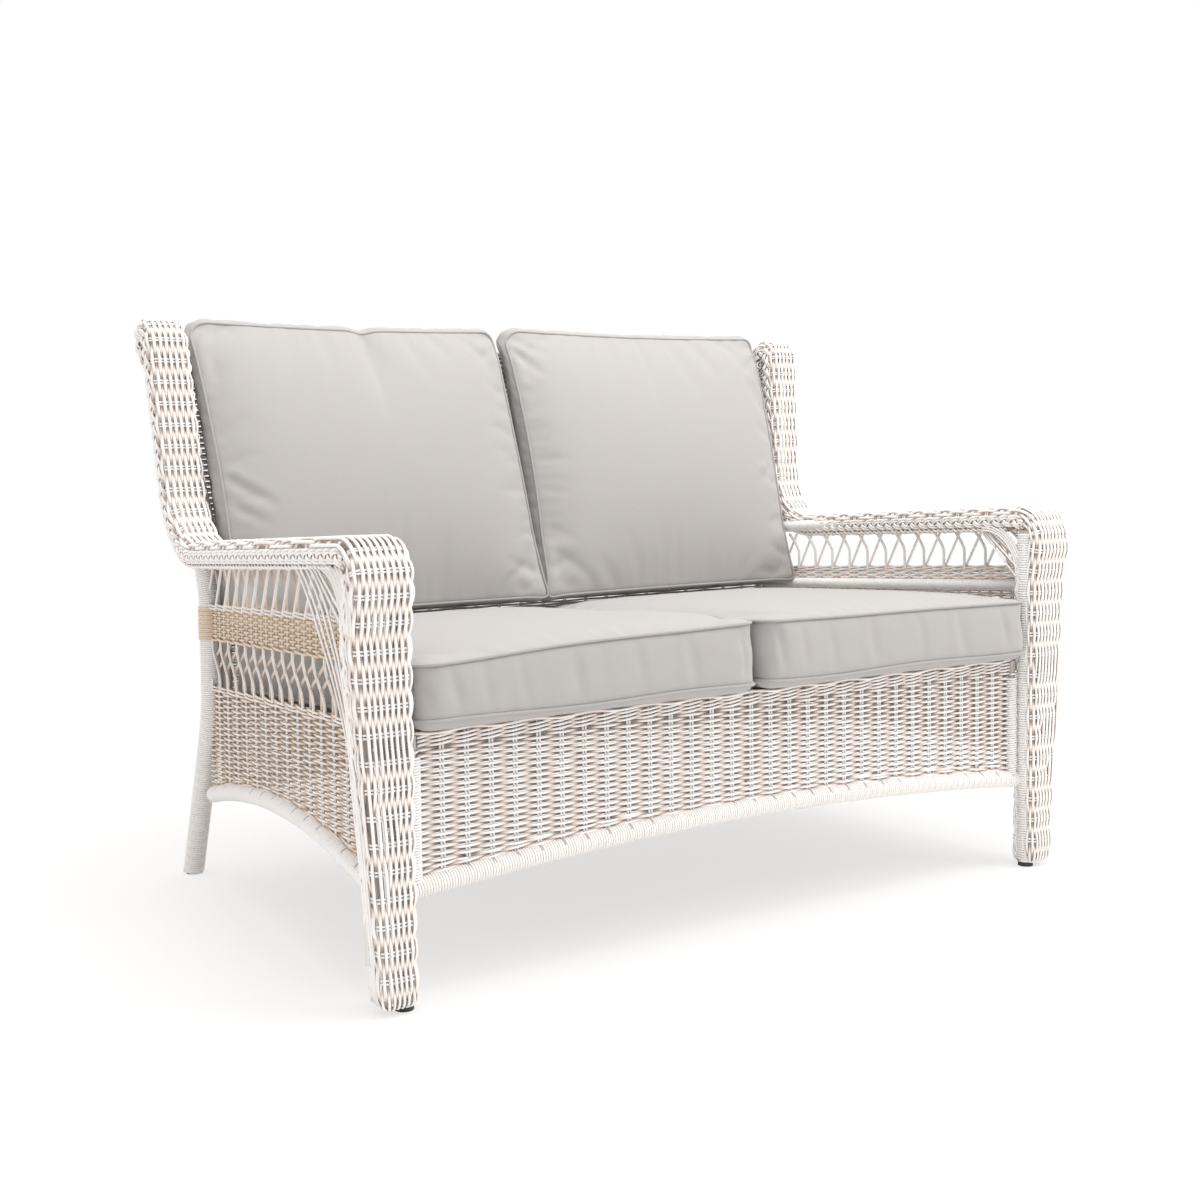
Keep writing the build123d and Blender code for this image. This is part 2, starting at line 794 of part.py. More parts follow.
def deck_tube(x, radius):
    lift = (seat_rail_radius - radius) * cos(radians(seat_rake))
    start = (x, front_rail_y, front_rail_z + lift)
    end = (x, rear_rail_y, rear_rail_z + lift)
    with BuildPart() as tube:
        with BuildLine() as tube_path:
            Line(start, end)
        with BuildSketch(Plane(origin=start, z_dir=tube_path.line % 0)):
            Circle(radius)
        sweep()
        add(seat_front_rail.part, mode=Mode.SUBTRACT)
        add(seat_rear_rail.part, mode=Mode.SUBTRACT)
    return tube.part


save(deck_tube(-seat_side_x, seat_rail_radius), "seat_left_rail")
save(deck_tube(seat_side_x, seat_rail_radius), "seat_right_rail")
for number, brace_x in enumerate((-brace_spread, 0, brace_spread), start=1):
    save(deck_tube(brace_x, brace_radius), f"seat_brace_{number}")

# Woven deck that lies on the seat frame and covers the top of the skirt
deck_plane = Plane(
    origin=(0, front_rail_y, front_rail_z + seat_rail_radius / cos(radians(seat_rake))),
    x_dir=(1, 0, 0),
    z_dir=(0, sin(radians(seat_rake)), cos(radians(seat_rake))),
)
deck_front = (skirt_y - front_rail_y) / cos(radians(seat_rake))
deck_back = (rear_rail_y + seat_rail_radius - front_rail_y) / cos(radians(seat_rake))
deck_half = seat_opening / 2 - deck_side_gap
with BuildPart() as seat_deck:
    with BuildSketch(deck_plane):
        with Locations((0, (deck_front + deck_back) / 2)):
            Rectangle(2 * deck_half, deck_back - deck_front)
    extrude(amount=deck_thickness)

# Front skirt: arched rail, end posts and close weave
with BuildPart() as skirt_rail:
    with BuildLine() as skirt_rail_path:
        ThreePointArc(
            (-skirt_rail_reach, skirt_middle_y, skirt_rail_end_height),
            (0, skirt_middle_y, skirt_rail_middle_height),
            (skirt_rail_reach, skirt_middle_y, skirt_rail_end_height),
        )
    with BuildSketch(Plane(origin=skirt_rail_path.line @ 0, z_dir=skirt_rail_path.line % 0)):
        Circle(skirt_rail_radius)
    sweep()
    add(front_post.part, mode=Mode.SUBTRACT)
    mirror(front_post.part, about=Plane.YZ, mode=Mode.SUBTRACT)
with BuildPart() as skirt_post:
    with BuildSketch(Plane.XY.offset(skirt_rail_end_height)):
        with Locations((-skirt_post_x, skirt_middle_y)):
            Circle(skirt_post_radius)
    extrude(amount=skirt_top_height + deck_thickness / 2 - skirt_rail_end_height)
    for neighbour in (skirt_rail, seat_front_rail, seat_deck):
        add(neighbour.part, mode=Mode.SUBTRACT)
skirt_rib_gap = skirt_rib_pitch - stake_rib_width
skirt_gap_count = int(skirt_post_x / skirt_rib_pitch) + 1
with BuildPart() as skirt_panel:
    with BuildSketch(Plane.XZ.offset(stake_rib_rise - skirt_y)):
        with BuildLine():
            ThreePointArc(
                (-skirt_post_x, skirt_rail_end_height),
                (0, skirt_rail_middle_height),
                (skirt_post_x, skirt_rail_end_height),
            )
            Polyline(
                (skirt_post_x, skirt_rail_end_height),
                (skirt_post_x, skirt_top_height + deck_thickness / 2),
                (-skirt_post_x, skirt_top_height + deck_thickness / 2),
                (-skirt_post_x, skirt_rail_end_height),
            )
        make_face()
    extrude(amount=-skirt_thickness - stake_rib_rise)
    with BuildSketch(Plane.XZ.offset(stake_rib_rise - skirt_y)):
        for index in range(-skirt_gap_count, skirt_gap_count):
            with Locations(((index + 1 / 2) * skirt_rib_pitch, skirt_top_height)):
                Rectangle(skirt_rib_gap, 2 * skirt_top_height)
    extrude(amount=-stake_rib_rise, mode=Mode.SUBTRACT)
    for neighbour in (skirt_rail, seat_front_rail):
        add(neighbour.part, mode=Mode.SUBTRACT)
    add(skirt_post.part, mode=Mode.SUBTRACT)
    mirror(skirt_post.part, about=Plane.YZ, mode=Mode.SUBTRACT)
    split(bisect_by=deck_plane, keep=Keep.BOTTOM)


# Bolts and their threaded inserts: seat to front posts, seat to uprights, uprights to rear posts
bolt_height = front_rail_z - bolt_drop
bracket_thickness = front_rail_y - seat_rail_radius - front_post_y - front_post_radius
bolt_places = []
for side in (-1, 1):
    for bolt_z in (bolt_height - bolt_rise / 2, bolt_height + bolt_rise / 2):
        head = (side * front_post_x, front_rail_y - seat_rail_radius, bolt_z)
        bolt_places.append((head, (0, -1, 0), bracket_thickness))
    head = (side * upright_x_low, rear_rail_y - seat_rail_radius, rear_rail_z)
    bolt_places.append((head, (0, 1, 0), 2 * seat_rail_radius))
    for bolt_z in (rear_hip_height - hip_bolt_drop, rear_post_top - head_bolt_drop):
        axis_x = post_x(bolt_z) - upright_offset
        head = (side * (axis_x - upright_radius), post_y(bolt_z), bolt_z)
        bolt_places.append((head, (side, 0, 0), 2 * upright_radius))

with BuildPart() as assembly_bolts:
    for head, heading, grip in bolt_places:
        with BuildSketch(Plane(origin=head, z_dir=heading)):
            Circle(bolt_head_radius)
        extrude(amount=-bolt_head_height)
        with BuildSketch(Plane(origin=head, z_dir=heading)):
            Circle(bolt_shank_radius)
        extrude(amount=grip + insert_length)
with BuildPart() as insert_nuts:
    for head, heading, grip in bolt_places:
        with BuildSketch(Plane(origin=head, z_dir=heading).offset(grip)):
            Circle(insert_radius)
            Circle(bolt_shank_radius, mode=Mode.SUBTRACT)
        extrude(amount=insert_length)
print("bolts", len(assembly_bolts.part.solids()), "inserts", len(insert_nuts.part.solids()))

# Bracket plates welded under the ends of the front seat rail
with BuildPart() as seat_brackets:
    for side in (-1, 1):
        with BuildSketch(Plane.XZ.offset(-front_post_y - front_post_radius)):
            with Locations((side * front_post_x, front_rail_z - bracket_drop / 2)):
                Rectangle(2 * front_post_radius, bracket_drop)
        extrude(amount=-bracket_thickness)

# Glides under the four feet
with BuildPart() as foot_glides:
    for side in (-1, 1):
        for glide_x, glide_y in (
            (front_post_x, front_post_y),
            (rear_foot_half_span, rear_foot_y),
        ):
            with BuildSketch(Plane.XY):
                with Locations((side * glide_x, glide_y)):
                    Circle(glide_radius)
            extrude(amount=glide_height)


def bored(piece):
    with BuildPart() as drilled:
        add(piece.part)
        add(assembly_bolts.part, mode=Mode.SUBTRACT)
        add(insert_nuts.part, mode=Mode.SUBTRACT)
    return main_solid(drilled)


def trimmed(piece, neighbours):
    with BuildPart() as cut:
        add(piece.part)
        for neighbour in neighbours:
            add(neighbour.part, mode=Mode.SUBTRACT)
    return main_solid(cut)


for piece, piece_name in (
    (front_stile, "front_stile"),
    (side_rail, "side_rail"),
    (middle_band, "middle_band"),
    (upper_lattice, "upper_lattice"),
    (lower_lattice, "lower_lattice"),
):
    save_pair(main_solid(piece), piece_name)
save_pair(trimmed(arm_rail, (back_upright,)), "arm_rail")
save_pair(trimmed(stretcher, (back_upright,)), "stretcher")
save_pair(trimmed(lower_panel, (back_rail,)), "lower_panel")
save_pair(bored(front_post), "front_post")
save_pair(bored(rear_post), "rear_post")
save_pair(bored(back_upright), "back_upright")
save_pair(trimmed(leg_band, (front_stile, front_post, side_rail)), "leg_band")
save_pair(trimmed(arm_band, (front_post, front_stile, arm_rail, upper_lattice)), "arm_band")
save_pair(trimmed(wing_band, (arm_rail, upper_lattice)), "wing_band")
save_pair(wing_web.part, "wing_web")
save_pair(skirt_post.part, "skirt_post")
save(bored(seat_rear_rail), "seat_rear_rail")
save(bored(back_panel), "back_panel")
for piece, piece_name in (
    (back_rail, "back_rail"),
    (back_tube, "back_tube"),
    (back_roll, "back_roll"),
    (skirt_rail, "skirt_rail"),
    (skirt_panel, "skirt_panel"),
    (seat_front_rail, "seat_front_rail"),
    (seat_deck, "seat_deck"),
):
    save(main_solid(piece), piece_name)
for piece, piece_name in (
    (assembly_bolts, "assembly_bolts"),
    (insert_nuts, "insert_nuts"),
    (foot_glides, "foot_glides"),
):
    save(piece.part, piece_name)
with BuildPart() as bored_brackets:
    add(seat_brackets.part)
    add(assembly_bolts.part, mode=Mode.SUBTRACT)
save(bored_brackets.part, "seat_brackets")

# Seat cushions: boxed, crowned on top, with drawn-in sides; the foam core sits inside
cushion_plane = deck_plane.offset(deck_thickness + fit_gap)
seat_front = (skirt_y - seat_cushion_overhang - front_rail_y) / cos(radians(seat_rake))
seat_cushion_depth = deck_back - seat_front - seat_cushion_gap
seat_width = seat_opening / 2 - cushion_gap
seat_middle_x = cushion_gap / 2 + seat_width / 2


def seat_section(plane, crown):
    half = seat_width / 2
    with BuildSketch(plane) as section:
        with BuildLine():
            Line((-half, 0), (half, 0))
            ThreePointArc((half, 0), (half - side_draw, seat_cushion_height / 2), (half, seat_cushion_height))
            ThreePointArc(
                (half, seat_cushion_height),
                (0, seat_cushion_height + crown),
                (-half, seat_cushion_height),
            )
            ThreePointArc(
                (-half, seat_cushion_height), (side_draw - half, seat_cushion_height / 2), (-half, 0)
            )
        make_face()
    return section.sketch


def cross_plane(x, run):
    return Plane(
        origin=cushion_plane.from_local_coords((x, run, 0)),
        x_dir=(1, 0, 0),
        z_dir=-cushion_plane.y_dir,
    )


with BuildPart() as seat_core:
    with BuildSketch(cushion_plane.offset(cover_inset)):
        with Locations((-seat_middle_x, seat_front + seat_cushion_depth / 2)):
            RectangleRounded(
                seat_width - 2 * side_draw - 2 * cover_inset,
                seat_cushion_depth - 2 * cover_inset,
                seat_corner - cover_inset,
            )
    extrude(amount=seat_cushion_height - 2 * cover_inset)
with BuildPart() as seat_cushion:
    for depth_share, crown_share in seat_crown_shares:
        add(
            seat_section(
                cross_plane(-seat_middle_x, seat_front + depth_share * seat_cushion_depth),
                crown_share * seat_crown,
            )
        )
    loft()
    fillet(
        seat_cushion.edges().filter_by(lambda e: abs(e.tangent_at(0.5).Z) > 0.8),
        radius=seat_corner,
    )
    add(seat_core.part, mode=Mode.SUBTRACT)
print("seat cushion", len(seat_cushion.part.solids()), seat_cushion.part.bounding_box())
save_pair(seat_cushion.part, "seat_cushion")
save_pair(seat_core.part, "seat_core")

# Back cushions: pillow-backed, leaning on the woven back and standing on the seat cushions
back_low = deck_plane.origin.Z + deck_thickness + seat_cushion_height + back_cushion_lift
back_rear_low = rear_post_y - upright_radius - back_clearance
back_rear_high = back_roll_y - back_roll_radius - fit_gap + back_cushion_nestle
back_front_low = back_rear_low - back_cushion_foot
back_top = overall_height - back_cushion_drop
back_cushion_width = half_opening + back_cushion_spread


def pillow_floor(y):
    return raked(back_low, y - front_rail_y)


back_rise = back_top - pillow_floor(back_front_low)
front_slope = (back_roll_y - back_head_setback - back_front_low) / back_rise


# Outline of the pillow in the plane of its side: foot front, head front, head rear, then down the rear
def pillow_corners(inset):
    floor_front = (back_front_low + inset, pillow_floor(back_front_low) + inset)
    top_z = back_top - inset
    head_y = floor_front[0] + (top_z - floor_front[1]) * front_slope
    return (
        floor_front,
        (head_y, top_z),
        (head_y + back_cushion_head - 2 * inset, top_z),
        (back_rear_high - inset, back_roll_z + back_roll_radius / 2),
        (back_rear_low - inset, rear_hip_height - back_clearance),
        (back_rear_low - inset, pillow_floor(back_rear_low) + inset),
    )


def pillow_section(x, inset, belly):
    corners = pillow_corners(inset)
    foot, head, head_rear = corners[:3]
    front_middle = ((foot[0] + head[0]) / 2 - belly, (foot[1] + head[1]) / 2)
    top_middle = ((head[0] + head_rear[0]) / 2, head[1] + belly * back_crown_share)
    with BuildSketch(Plane.YZ.offset(x)) as section:
        with BuildLine():
            ThreePointArc(foot, front_middle, head)
            ThreePointArc(head, top_middle, head_rear)
            Polyline(*corners[2:], foot)
        make_face()
    return section.sketch


with BuildPart() as back_core:
    core_inset = back_edge_inset + cover_inset
    with BuildSketch(Plane.YZ.offset(-cushion_gap / 2 - core_inset)):
        with BuildLine():
            Polyline(*pillow_corners(core_inset), close=True)
        make_face()
    extrude(amount=2 * core_inset - back_cushion_width)
with BuildPart() as back_cushion:
    for width_share, inset_share, belly_share in pillow_shares:
        add(
            pillow_section(
                -cushion_gap / 2 - back_cushion_width * width_share,
                back_edge_inset * inset_share,
                back_belly * belly_share,
            )
        )
    loft()
    add(back_core.part, mode=Mode.SUBTRACT)
print("back cushion", len(back_cushion.part.solids()), back_cushion.part.bounding_box())
save_pair(back_cushion.part, "back_cushion")
save_pair(back_core.part, "back_core")
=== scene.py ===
from math import cos, hypot, pi, radians, sin, tan

import bmesh
import bpy
import numpy as np
from mathutils import Matrix, Vector


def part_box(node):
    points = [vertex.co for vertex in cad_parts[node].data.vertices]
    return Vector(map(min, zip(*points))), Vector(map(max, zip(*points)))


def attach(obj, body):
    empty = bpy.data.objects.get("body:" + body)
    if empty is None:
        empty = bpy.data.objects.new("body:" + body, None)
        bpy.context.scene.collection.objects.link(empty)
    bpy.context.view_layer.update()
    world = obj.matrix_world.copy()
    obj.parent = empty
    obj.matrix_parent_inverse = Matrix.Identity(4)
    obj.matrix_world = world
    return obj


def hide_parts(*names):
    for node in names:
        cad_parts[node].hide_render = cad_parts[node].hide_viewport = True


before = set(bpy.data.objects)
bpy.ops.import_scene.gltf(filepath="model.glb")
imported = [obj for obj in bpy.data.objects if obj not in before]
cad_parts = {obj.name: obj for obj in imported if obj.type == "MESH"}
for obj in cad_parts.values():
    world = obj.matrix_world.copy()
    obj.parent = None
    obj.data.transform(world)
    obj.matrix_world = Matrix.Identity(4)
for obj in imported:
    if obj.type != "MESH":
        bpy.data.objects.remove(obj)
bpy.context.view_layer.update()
mm = 0.001  # everything below is written in millimetres and scaled as it is built

# angles and places that the loveseat's pieces share
rakeDegrees, wingDegrees = 3.3, 6.0  # fall of arms, deck and side weave, and lean of the wing's front edge
rakeAngle, wingAngle = radians(rakeDegrees), radians(wingDegrees)
rake = tan(rakeAngle)
shell = {
    "frontY": -452.5, "legY": -441.5, "footZ": 8.0, "skirtY": -399.5,
    "stileX": 650.0, "stileY": -405.5,  # the side weave starts here, inside the leg
    "postX": 619.0, "postY": 313.0, "postRadius": 17.0, "hipZ": 520.0,  # above the hip the rear post leans
    "postTopX": 672.0, "postTopZ": 930.0, "rollY": 420.5, "rollZ": 908.0,
    "wingY": 302.5, "wingZ": 800.0,  # a point on the wing's front edge
}
shell["lean"] = (shell["rollY"] - shell["postY"]) / (shell["rollZ"] - shell["hipZ"])


def smooth(t):
    t = np.clip(t, 0.0, 1.0)
    return t * t * (3.0 - 2.0 * t)


def postSpot(z):  # middle of the rear post above the seat
    rise = np.maximum(0.0, z - shell["hipZ"])
    spread = (shell["postTopX"] - shell["postX"]) / (shell["postTopZ"] - shell["hipZ"])
    return shell["postX"] + rise * spread, shell["postY"] + rise * shell["lean"]


def wingFront(z):  # the wing's front edge
    return shell["wingY"] + (z - shell["wingZ"]) * tan(wingAngle)


class Wire:  # one socket, so that shader maths reads as maths
    def __init__(self, finish, socket):
        self.finish, self.socket = finish, socket

    def maths(self, operation, first, second):
        return self.finish.node("ShaderNodeMath", {"operation": operation}, {0: first, 1: second})

    def __add__(self, other):
        return self.maths("ADD", self, other)

    __radd__ = __add__

    def __mul__(self, other):
        return self.maths("MULTIPLY", self, other)

    __rmul__ = __mul__

    def __sub__(self, other):
        return self.maths("SUBTRACT", self, other)

    def __rsub__(self, other):
        return self.maths("SUBTRACT", other, self)


class Finish:  # a material, or the world, being put together
    def __init__(self, tree, material=None):
        self.tree, self.material = tree, material
        self.tree.nodes.clear()

    @classmethod
    def named(cls, name):
        material = bpy.data.materials.new(name)
        material.use_nodes = True
        return cls(material.node_tree, material)

    def node(self, kind, settings=None, values=None, output=0):
        made = self.tree.nodes.new(kind)
        for key, value in (settings or {}).items():
            if key == "stops":
                ramp = made.color_ramp.elements
                for number, (place, shade) in enumerate(value):
                    stop = ramp[number] if number < 2 else ramp.new(place)
                    stop.position, stop.color = place, (*shade, 1.0)
            else:
                setattr(made, key, value)
        for key, value in (values or {}).items():
            if isinstance(value, Wire):
                self.tree.links.new(value.socket, made.inputs[key])
            elif value is not None:
                made.inputs[key].default_value = value
        return Wire(self, made.outputs[output]) if made.outputs else None

    def finished(self, **values):
        named = {key.replace("_", " "): value for key, value in values.items()}
        shader = self.node("ShaderNodeBsdfPrincipled", None, named)
        self.node("ShaderNodeOutputMaterial", None, {"Surface": shader})
        return self.material

    def place(self):
        return self.node("ShaderNodeTexCoord", None, None, "Object")

    def noise(self, scale, detail=3.0):
        return self.node("ShaderNodeTexNoise", None, {"Vector": self.place(), "Scale": scale, "Detail": detail})

    def attribute(self, name):
        return self.node("ShaderNodeAttribute", {"attribute_name": name}, None, "Fac")

    def ramp(self, share, *stops):
        return self.node("ShaderNodeValToRGB", {"stops": stops}, {0: share})

    def blend(self, share, first, second, how="MIX"):  # 6 and 7 are the colour inputs, 2 the colour output
        settings = {"data_type": "RGBA", "blend_type": how}
        return self.node("ShaderNodeMix", settings, {0: share, 6: first, 7: second}, 2)

    def bump(self, height, strength, distance):
        return self.node("ShaderNodeBump", None, {"Height": height, "Strength": strength, "Distance": distance})


# woven resin: what every strand shares, then for each kind the colours of the painted shade from a strand's crest
# down into the weave
strandLook = {"streakScale": 900.0, "grimeScale": 14.0, "tintDepth": 0.5, "tintShare": 0.35, "grimeShare": 0.30,
              "grimeFloor": 0.06, "rough": 0.40, "roughSpread": 0.14, "bump": 0.12, "bumpDepth": 0.0006}
# skirt paints deeper shade in its gaps; side is darker and warmer all over, painted shade of the side panels; band is
# tan, painted shade of the left middle band
strandShades = {
    "strand": {"name": "whiteStrand", "pale": (0.955, 0.945, 0.935), "warm": (0.86, 0.80, 0.755),
               "shade": (0.52, 0.42, 0.35), "dark": (0.18, 0.14, 0.115), "stops": (0.30, 0.52, 0.74)},
    "skirt": {"name": "skirtStrand", "pale": (0.93, 0.915, 0.905), "warm": (0.76, 0.69, 0.645),
              "shade": (0.36, 0.28, 0.225), "dark": (0.11, 0.085, 0.07), "stops": (0.22, 0.46, 0.68)},
    "side": {"name": "sideStrand", "pale": (0.90, 0.865, 0.835), "warm": (0.72, 0.60, 0.50),
             "shade": (0.40, 0.27, 0.185), "dark": (0.12, 0.08, 0.055), "stops": (0.20, 0.45, 0.68)},
    "wrap": {"name": "whiteWrap", "pale": (0.92, 0.91, 0.90), "warm": (0.74, 0.70, 0.66),
             "shade": (0.42, 0.36, 0.31), "dark": (0.16, 0.13, 0.11), "stops": (0.30, 0.52, 0.74)},
    "cane": {"name": "openworkCane", "pale": (0.88, 0.86, 0.84), "warm": (0.74, 0.65, 0.57),
             "shade": (0.58, 0.43, 0.32), "dark": (0.34, 0.24, 0.17), "stops": (0.30, 0.52, 0.74)},
    "band": {"name": "tanStrand", "pale": (0.80, 0.68, 0.55), "warm": (0.66, 0.52, 0.39),
             "shade": (0.40, 0.29, 0.20), "dark": (0.14, 0.10, 0.07), "stops": (0.30, 0.52, 0.74)},
}


def strandFinish(name, pale, warm, shade, dark, stops):
    resin, look = Finish.named(name), strandLook
    dive = resin.attribute("dive")  # painted shade: 0 on the crest of a strand, 1 where it lies behind its neighbours
    tint = resin.attribute("tint")  # one value for each strand
    streak = resin.noise(look["streakScale"], 2.0)
    grime = resin.noise(look["grimeScale"], 4.0)
    # the ramp paints the weave's shade: pale on the crest, then warm, shade and dark where the strand lies behind
    deep = resin.ramp(dive, (0.0, pale), (stops[0], pale), (stops[1], warm), (stops[2], shade), (1.0, dark))
    face = resin.blend(tint * look["tintDepth"], deep, (*warm, 1), "MULTIPLY")
    face = resin.blend(tint * look["tintShare"], deep, face)
    face = resin.blend(grime * look["grimeShare"] - look["grimeFloor"], face, (*warm, 1))
    return resin.finished(Base_Color=face, Roughness=look["rough"] + streak * look["roughSpread"],
                          Normal=resin.bump(streak, look["bump"], look["bumpDepth"]))


# painted, moulded and foam pieces
plainLook = {"patchScale": 9.0, "patchShade": 0.86, "roughSpread": 0.12, "bump": 0.2}
plainShades = {
    "tube": {"name": "paintedTube", "shade": (0.80, 0.78, 0.74), "rough": 0.38},
    # the pole core shows between the wraps, painted darker as the shadow lines there
    "poleCore": {"name": "poleCore", "shade": (0.50, 0.45, 0.40), "rough": 0.6},
    "glide": {"name": "blackGlide", "shade": (0.035, 0.035, 0.037), "rough": 0.5},
    "zinc": {"name": "zincBolt", "shade": (0.62, 0.62, 0.63), "rough": 0.32, "metallic": 1.0},
    "foam": {"name": "foamBlock", "shade": (0.86, 0.82, 0.70), "rough": 0.9, "grainScale": 160.0,
             "grainDepth": 0.0015},
}


def darker(shade, share):
    return (*(value * share for value in shade), 1)


def plainFinish(name, shade, rough, metallic=0.0, grainScale=300.0, grainDepth=0.0004):
    coat = Finish.named(name)
    grain = coat.noise(grainScale)
    patch = coat.noise(plainLook["patchScale"])
    return coat.finished(Base_Color=coat.blend(patch, (*shade, 1), darker(shade, plainLook["patchShade"])),
                         Roughness=rough + (grain - 0.5) * plainLook["roughSpread"], Metallic=metallic,
                         Normal=coat.bump(grain, plainLook["bump"], grainDepth))


# cushion cloth: threads crossing, thicker slubs and a faint change over the whole cushion
clothLook = {"threads": 5200.0, "warpDepth": 0.37, "weftDepth": 0.81, "slubScale": 380.0, "softScale": 7.0,
             "threadShare": 0.2, "slubShare": 0.6, "floor": 0.08, "slubShade": 0.78, "softShade": 0.95,
             "rough": 0.86, "roughSpread": 0.08, "sheen": 0.15, "bump": 0.3, "bumpDepth": 0.0008}
clothShades = {"cloth": {"name": "cushionCloth", "shade": (0.442, 0.428, 0.418)},
               # painted shade: the piping is the same cloth, darker for the shadow along the seams
               "piping": {"name": "cushionPiping", "shade": (0.405, 0.390, 0.380)}}


def clothFinish(name, shade):
    cloth, look = Finish.named(name), clothLook
    across, up, depth = (cloth.node("ShaderNodeSeparateXYZ", None, {0: cloth.place()}, n) for n in range(3))
    wave = {"operation": "SINE"}
    warp = cloth.node("ShaderNodeMath", wave, {0: (across + depth * look["warpDepth"]) * look["threads"]})
    weft = cloth.node("ShaderNodeMath", wave, {0: (up + depth * look["weftDepth"]) * look["threads"]})
    thread = warp * weft * 0.5 + 0.5
    slub = cloth.noise(look["slubScale"], 4.0)
    soft = cloth.noise(look["softScale"])
    mottle = thread * look["threadShare"] + slub * look["slubShare"] - look["floor"]
    colour = cloth.blend(mottle, (*shade, 1), darker(shade, look["slubShade"]))
    colour = cloth.blend(soft * 0.5, colour, darker(shade, look["softShade"]))
    return cloth.finished(Base_Color=colour, Roughness=look["rough"] + slub * look["roughSpread"],
                          Sheen_Weight=look["sheen"],
                          Normal=cloth.bump(thread * 0.5 + slub * 0.5, look["bump"], look["bumpDepth"]))


finishes = {}
for make, shades in ((strandFinish, strandShades), (plainFinish, plainShades), (clothFinish, clothShades)):
    finishes.update({key: make(**values) for key, values in shades.items()})
print("finishes ready")


def linked(name, data):
    holder = bpy.data.objects.new(name, data)
    bpy.context.collection.objects.link(holder)
    return holder


def evaluatedMesh(holder):  # the finished mesh of an object that isn't needed any more
    mesh = bpy.data.meshes.new_from_object(holder.evaluated_get(bpy.context.evaluated_depsgraph_get()))
    bpy.data.objects.remove(holder)
    return mesh


def tubeCurve(name, roundness):
    curve = bpy.data.curves.new(name, "CURVE")
    curve.dimensions = "3D"
    curve.bevel_depth, curve.bevel_resolution = mm, roundness
    return curve


def addSpline(curve, points, radius):
    spline = curve.splines.new("POLY")
    spline.points.add(len(points) - 1)
    spline.points.foreach_set("co", np.c_[points * mm, np.ones(len(points))].ravel())
    spline.points.foreach_set("radius", perPoint(radius, len(points)).astype(float))
    return spline


def readSpots(mesh):
    spots = np.empty(len(mesh.vertices) * 3)
    mesh.vertices.foreach_get("co", spots)
    return spots.reshape(-1, 3)


def writeValues(mesh, name, values):
    mesh.attributes.new(name, "FLOAT", "POINT").data.foreach_set("value", values)


def dress(mesh, name, finish, body, replaces=()):
    mesh.name = name
    mesh.materials.clear()
    mesh.materials.append(finishes[finish])
    mesh.polygons.foreach_set("use_smooth", np.ones(len(mesh.polygons), bool))
    piece = linked(name, mesh)
    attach(piece, body)
    if replaces:
        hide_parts(*replaces)
    return piece


def perPoint(value, count):
    return np.broadcast_to(np.asarray(value, float), (count,))


class Bundle:  # strands that become one piece
    def __init__(self, seed):
        self.runs, self.dice = [], np.random.default_rng(seed)

    # stand is 1 where the strand stands out of the weave and -1 where it lies behind
    # facing is the way the weave looks; with stand it sets the painted shade, and depth is the painted shade of a
    # strand that has no facing
    def add(self, points, radius, stand=0.0, facing=(0, 0, 0), tint=None, depth=0.2):
        points = np.asarray(points, float)
        count = len(points)
        tint = self.dice.uniform(0.0, 1.0) if tint is None else tint
        facing = np.broadcast_to(np.asarray(facing, float), (count, 3))
        self.runs.append((points, perPoint(radius, count), perPoint(stand, count), facing, tint, depth))

    def build(self, name, finish="strand", slot="woven_resin", replaces=(), roundness=1):
        curve = tubeCurve(name, roundness)
        curve.use_fill_caps = True
        for points, radii, *_ in self.runs:
            addSpline(curve, points, radii)
        mesh = evaluatedMesh(linked(name + "Path", curve))
        ring = 4 + 2 * roundness
        spots = readSpots(mesh) / mm
        # Blender lists the caps first, from the last strand back, then the rings of each strand
        rings = [(run, np.repeat([len(run[0]) - 1, 0], ring)) for run in self.runs[::-1]]
        rings += [(run, np.repeat(np.arange(len(run[0])), ring)) for run in self.runs]
        middles, radii, stands, facings = (np.concatenate([run[n][row] for run, row in rings]) for n in range(4))
        tints, depths = (np.concatenate([np.full(len(row), run[n]) for run, row in rings]) for n in (4, 5))
        if len(spots) != len(middles) or np.any(np.linalg.norm(spots - middles, axis=1) > radii * 2.5 + 1.0):
            raise SystemExit(f"{name}: the rings of the strands aren't where they should be")
        outward = np.einsum("ij,ij->i", spots - middles, facings) / radii
        plain = np.abs(facings).sum(axis=1) < 0.01
        # painted shade: dark where a strand lies behind its neighbours and on its side that faces into the weave
        paintedShades = 0.5 - 0.5 * np.clip(outward, -1, 1) * np.clip(stands, -1, 1)
        writeValues(mesh, "dive", np.where(plain, depths, paintedShades))
        writeValues(mesh, "tint", tints)
        bm = bmesh.new()  # joins the caps to the strands
        bm.from_mesh(mesh)
        bmesh.ops.remove_doubles(bm, verts=bm.verts, dist=0.000001)
        bm.to_mesh(mesh)
        bm.free()
        return dress(mesh, name, finish, "frame", replaces)


def unit(vectors):
    return vectors / np.linalg.norm(vectors, axis=-1, keepdims=True)


def columns(*values):  # points from their coordinates, which may be single numbers
    return np.stack(np.broadcast_arrays(*values), axis=-1)


def along(path, spacing):  # the same line with even steps
    path = np.asarray(path, float)
    lengths = np.append(0.0, np.cumsum(np.linalg.norm(np.diff(path, axis=0), axis=1)))
    marks = np.linspace(0, lengths[-1], max(2, int(lengths[-1] / spacing) + 1))
    return marks, columns(*(np.interp(marks, lengths, path[:, axis]) for axis in range(path.shape[1])))


def stationsAlong(start, end, stakes, steps=4):  # sample places, closer than the stakes
    marks = np.concatenate([[start], stakes[(stakes > start + 2) & (stakes < end - 2)], [end]])
    pieces = [np.linspace(a, b, steps, endpoint=False) for a, b in zip(marks[:-1], marks[1:])]
    return np.append(np.concatenate(pieces), end)


def overUnder(stakes, lift, first=0):  # out in front of one stake and behind the next
    return lift * (-1.0) ** (np.arange(len(stakes)) + first)


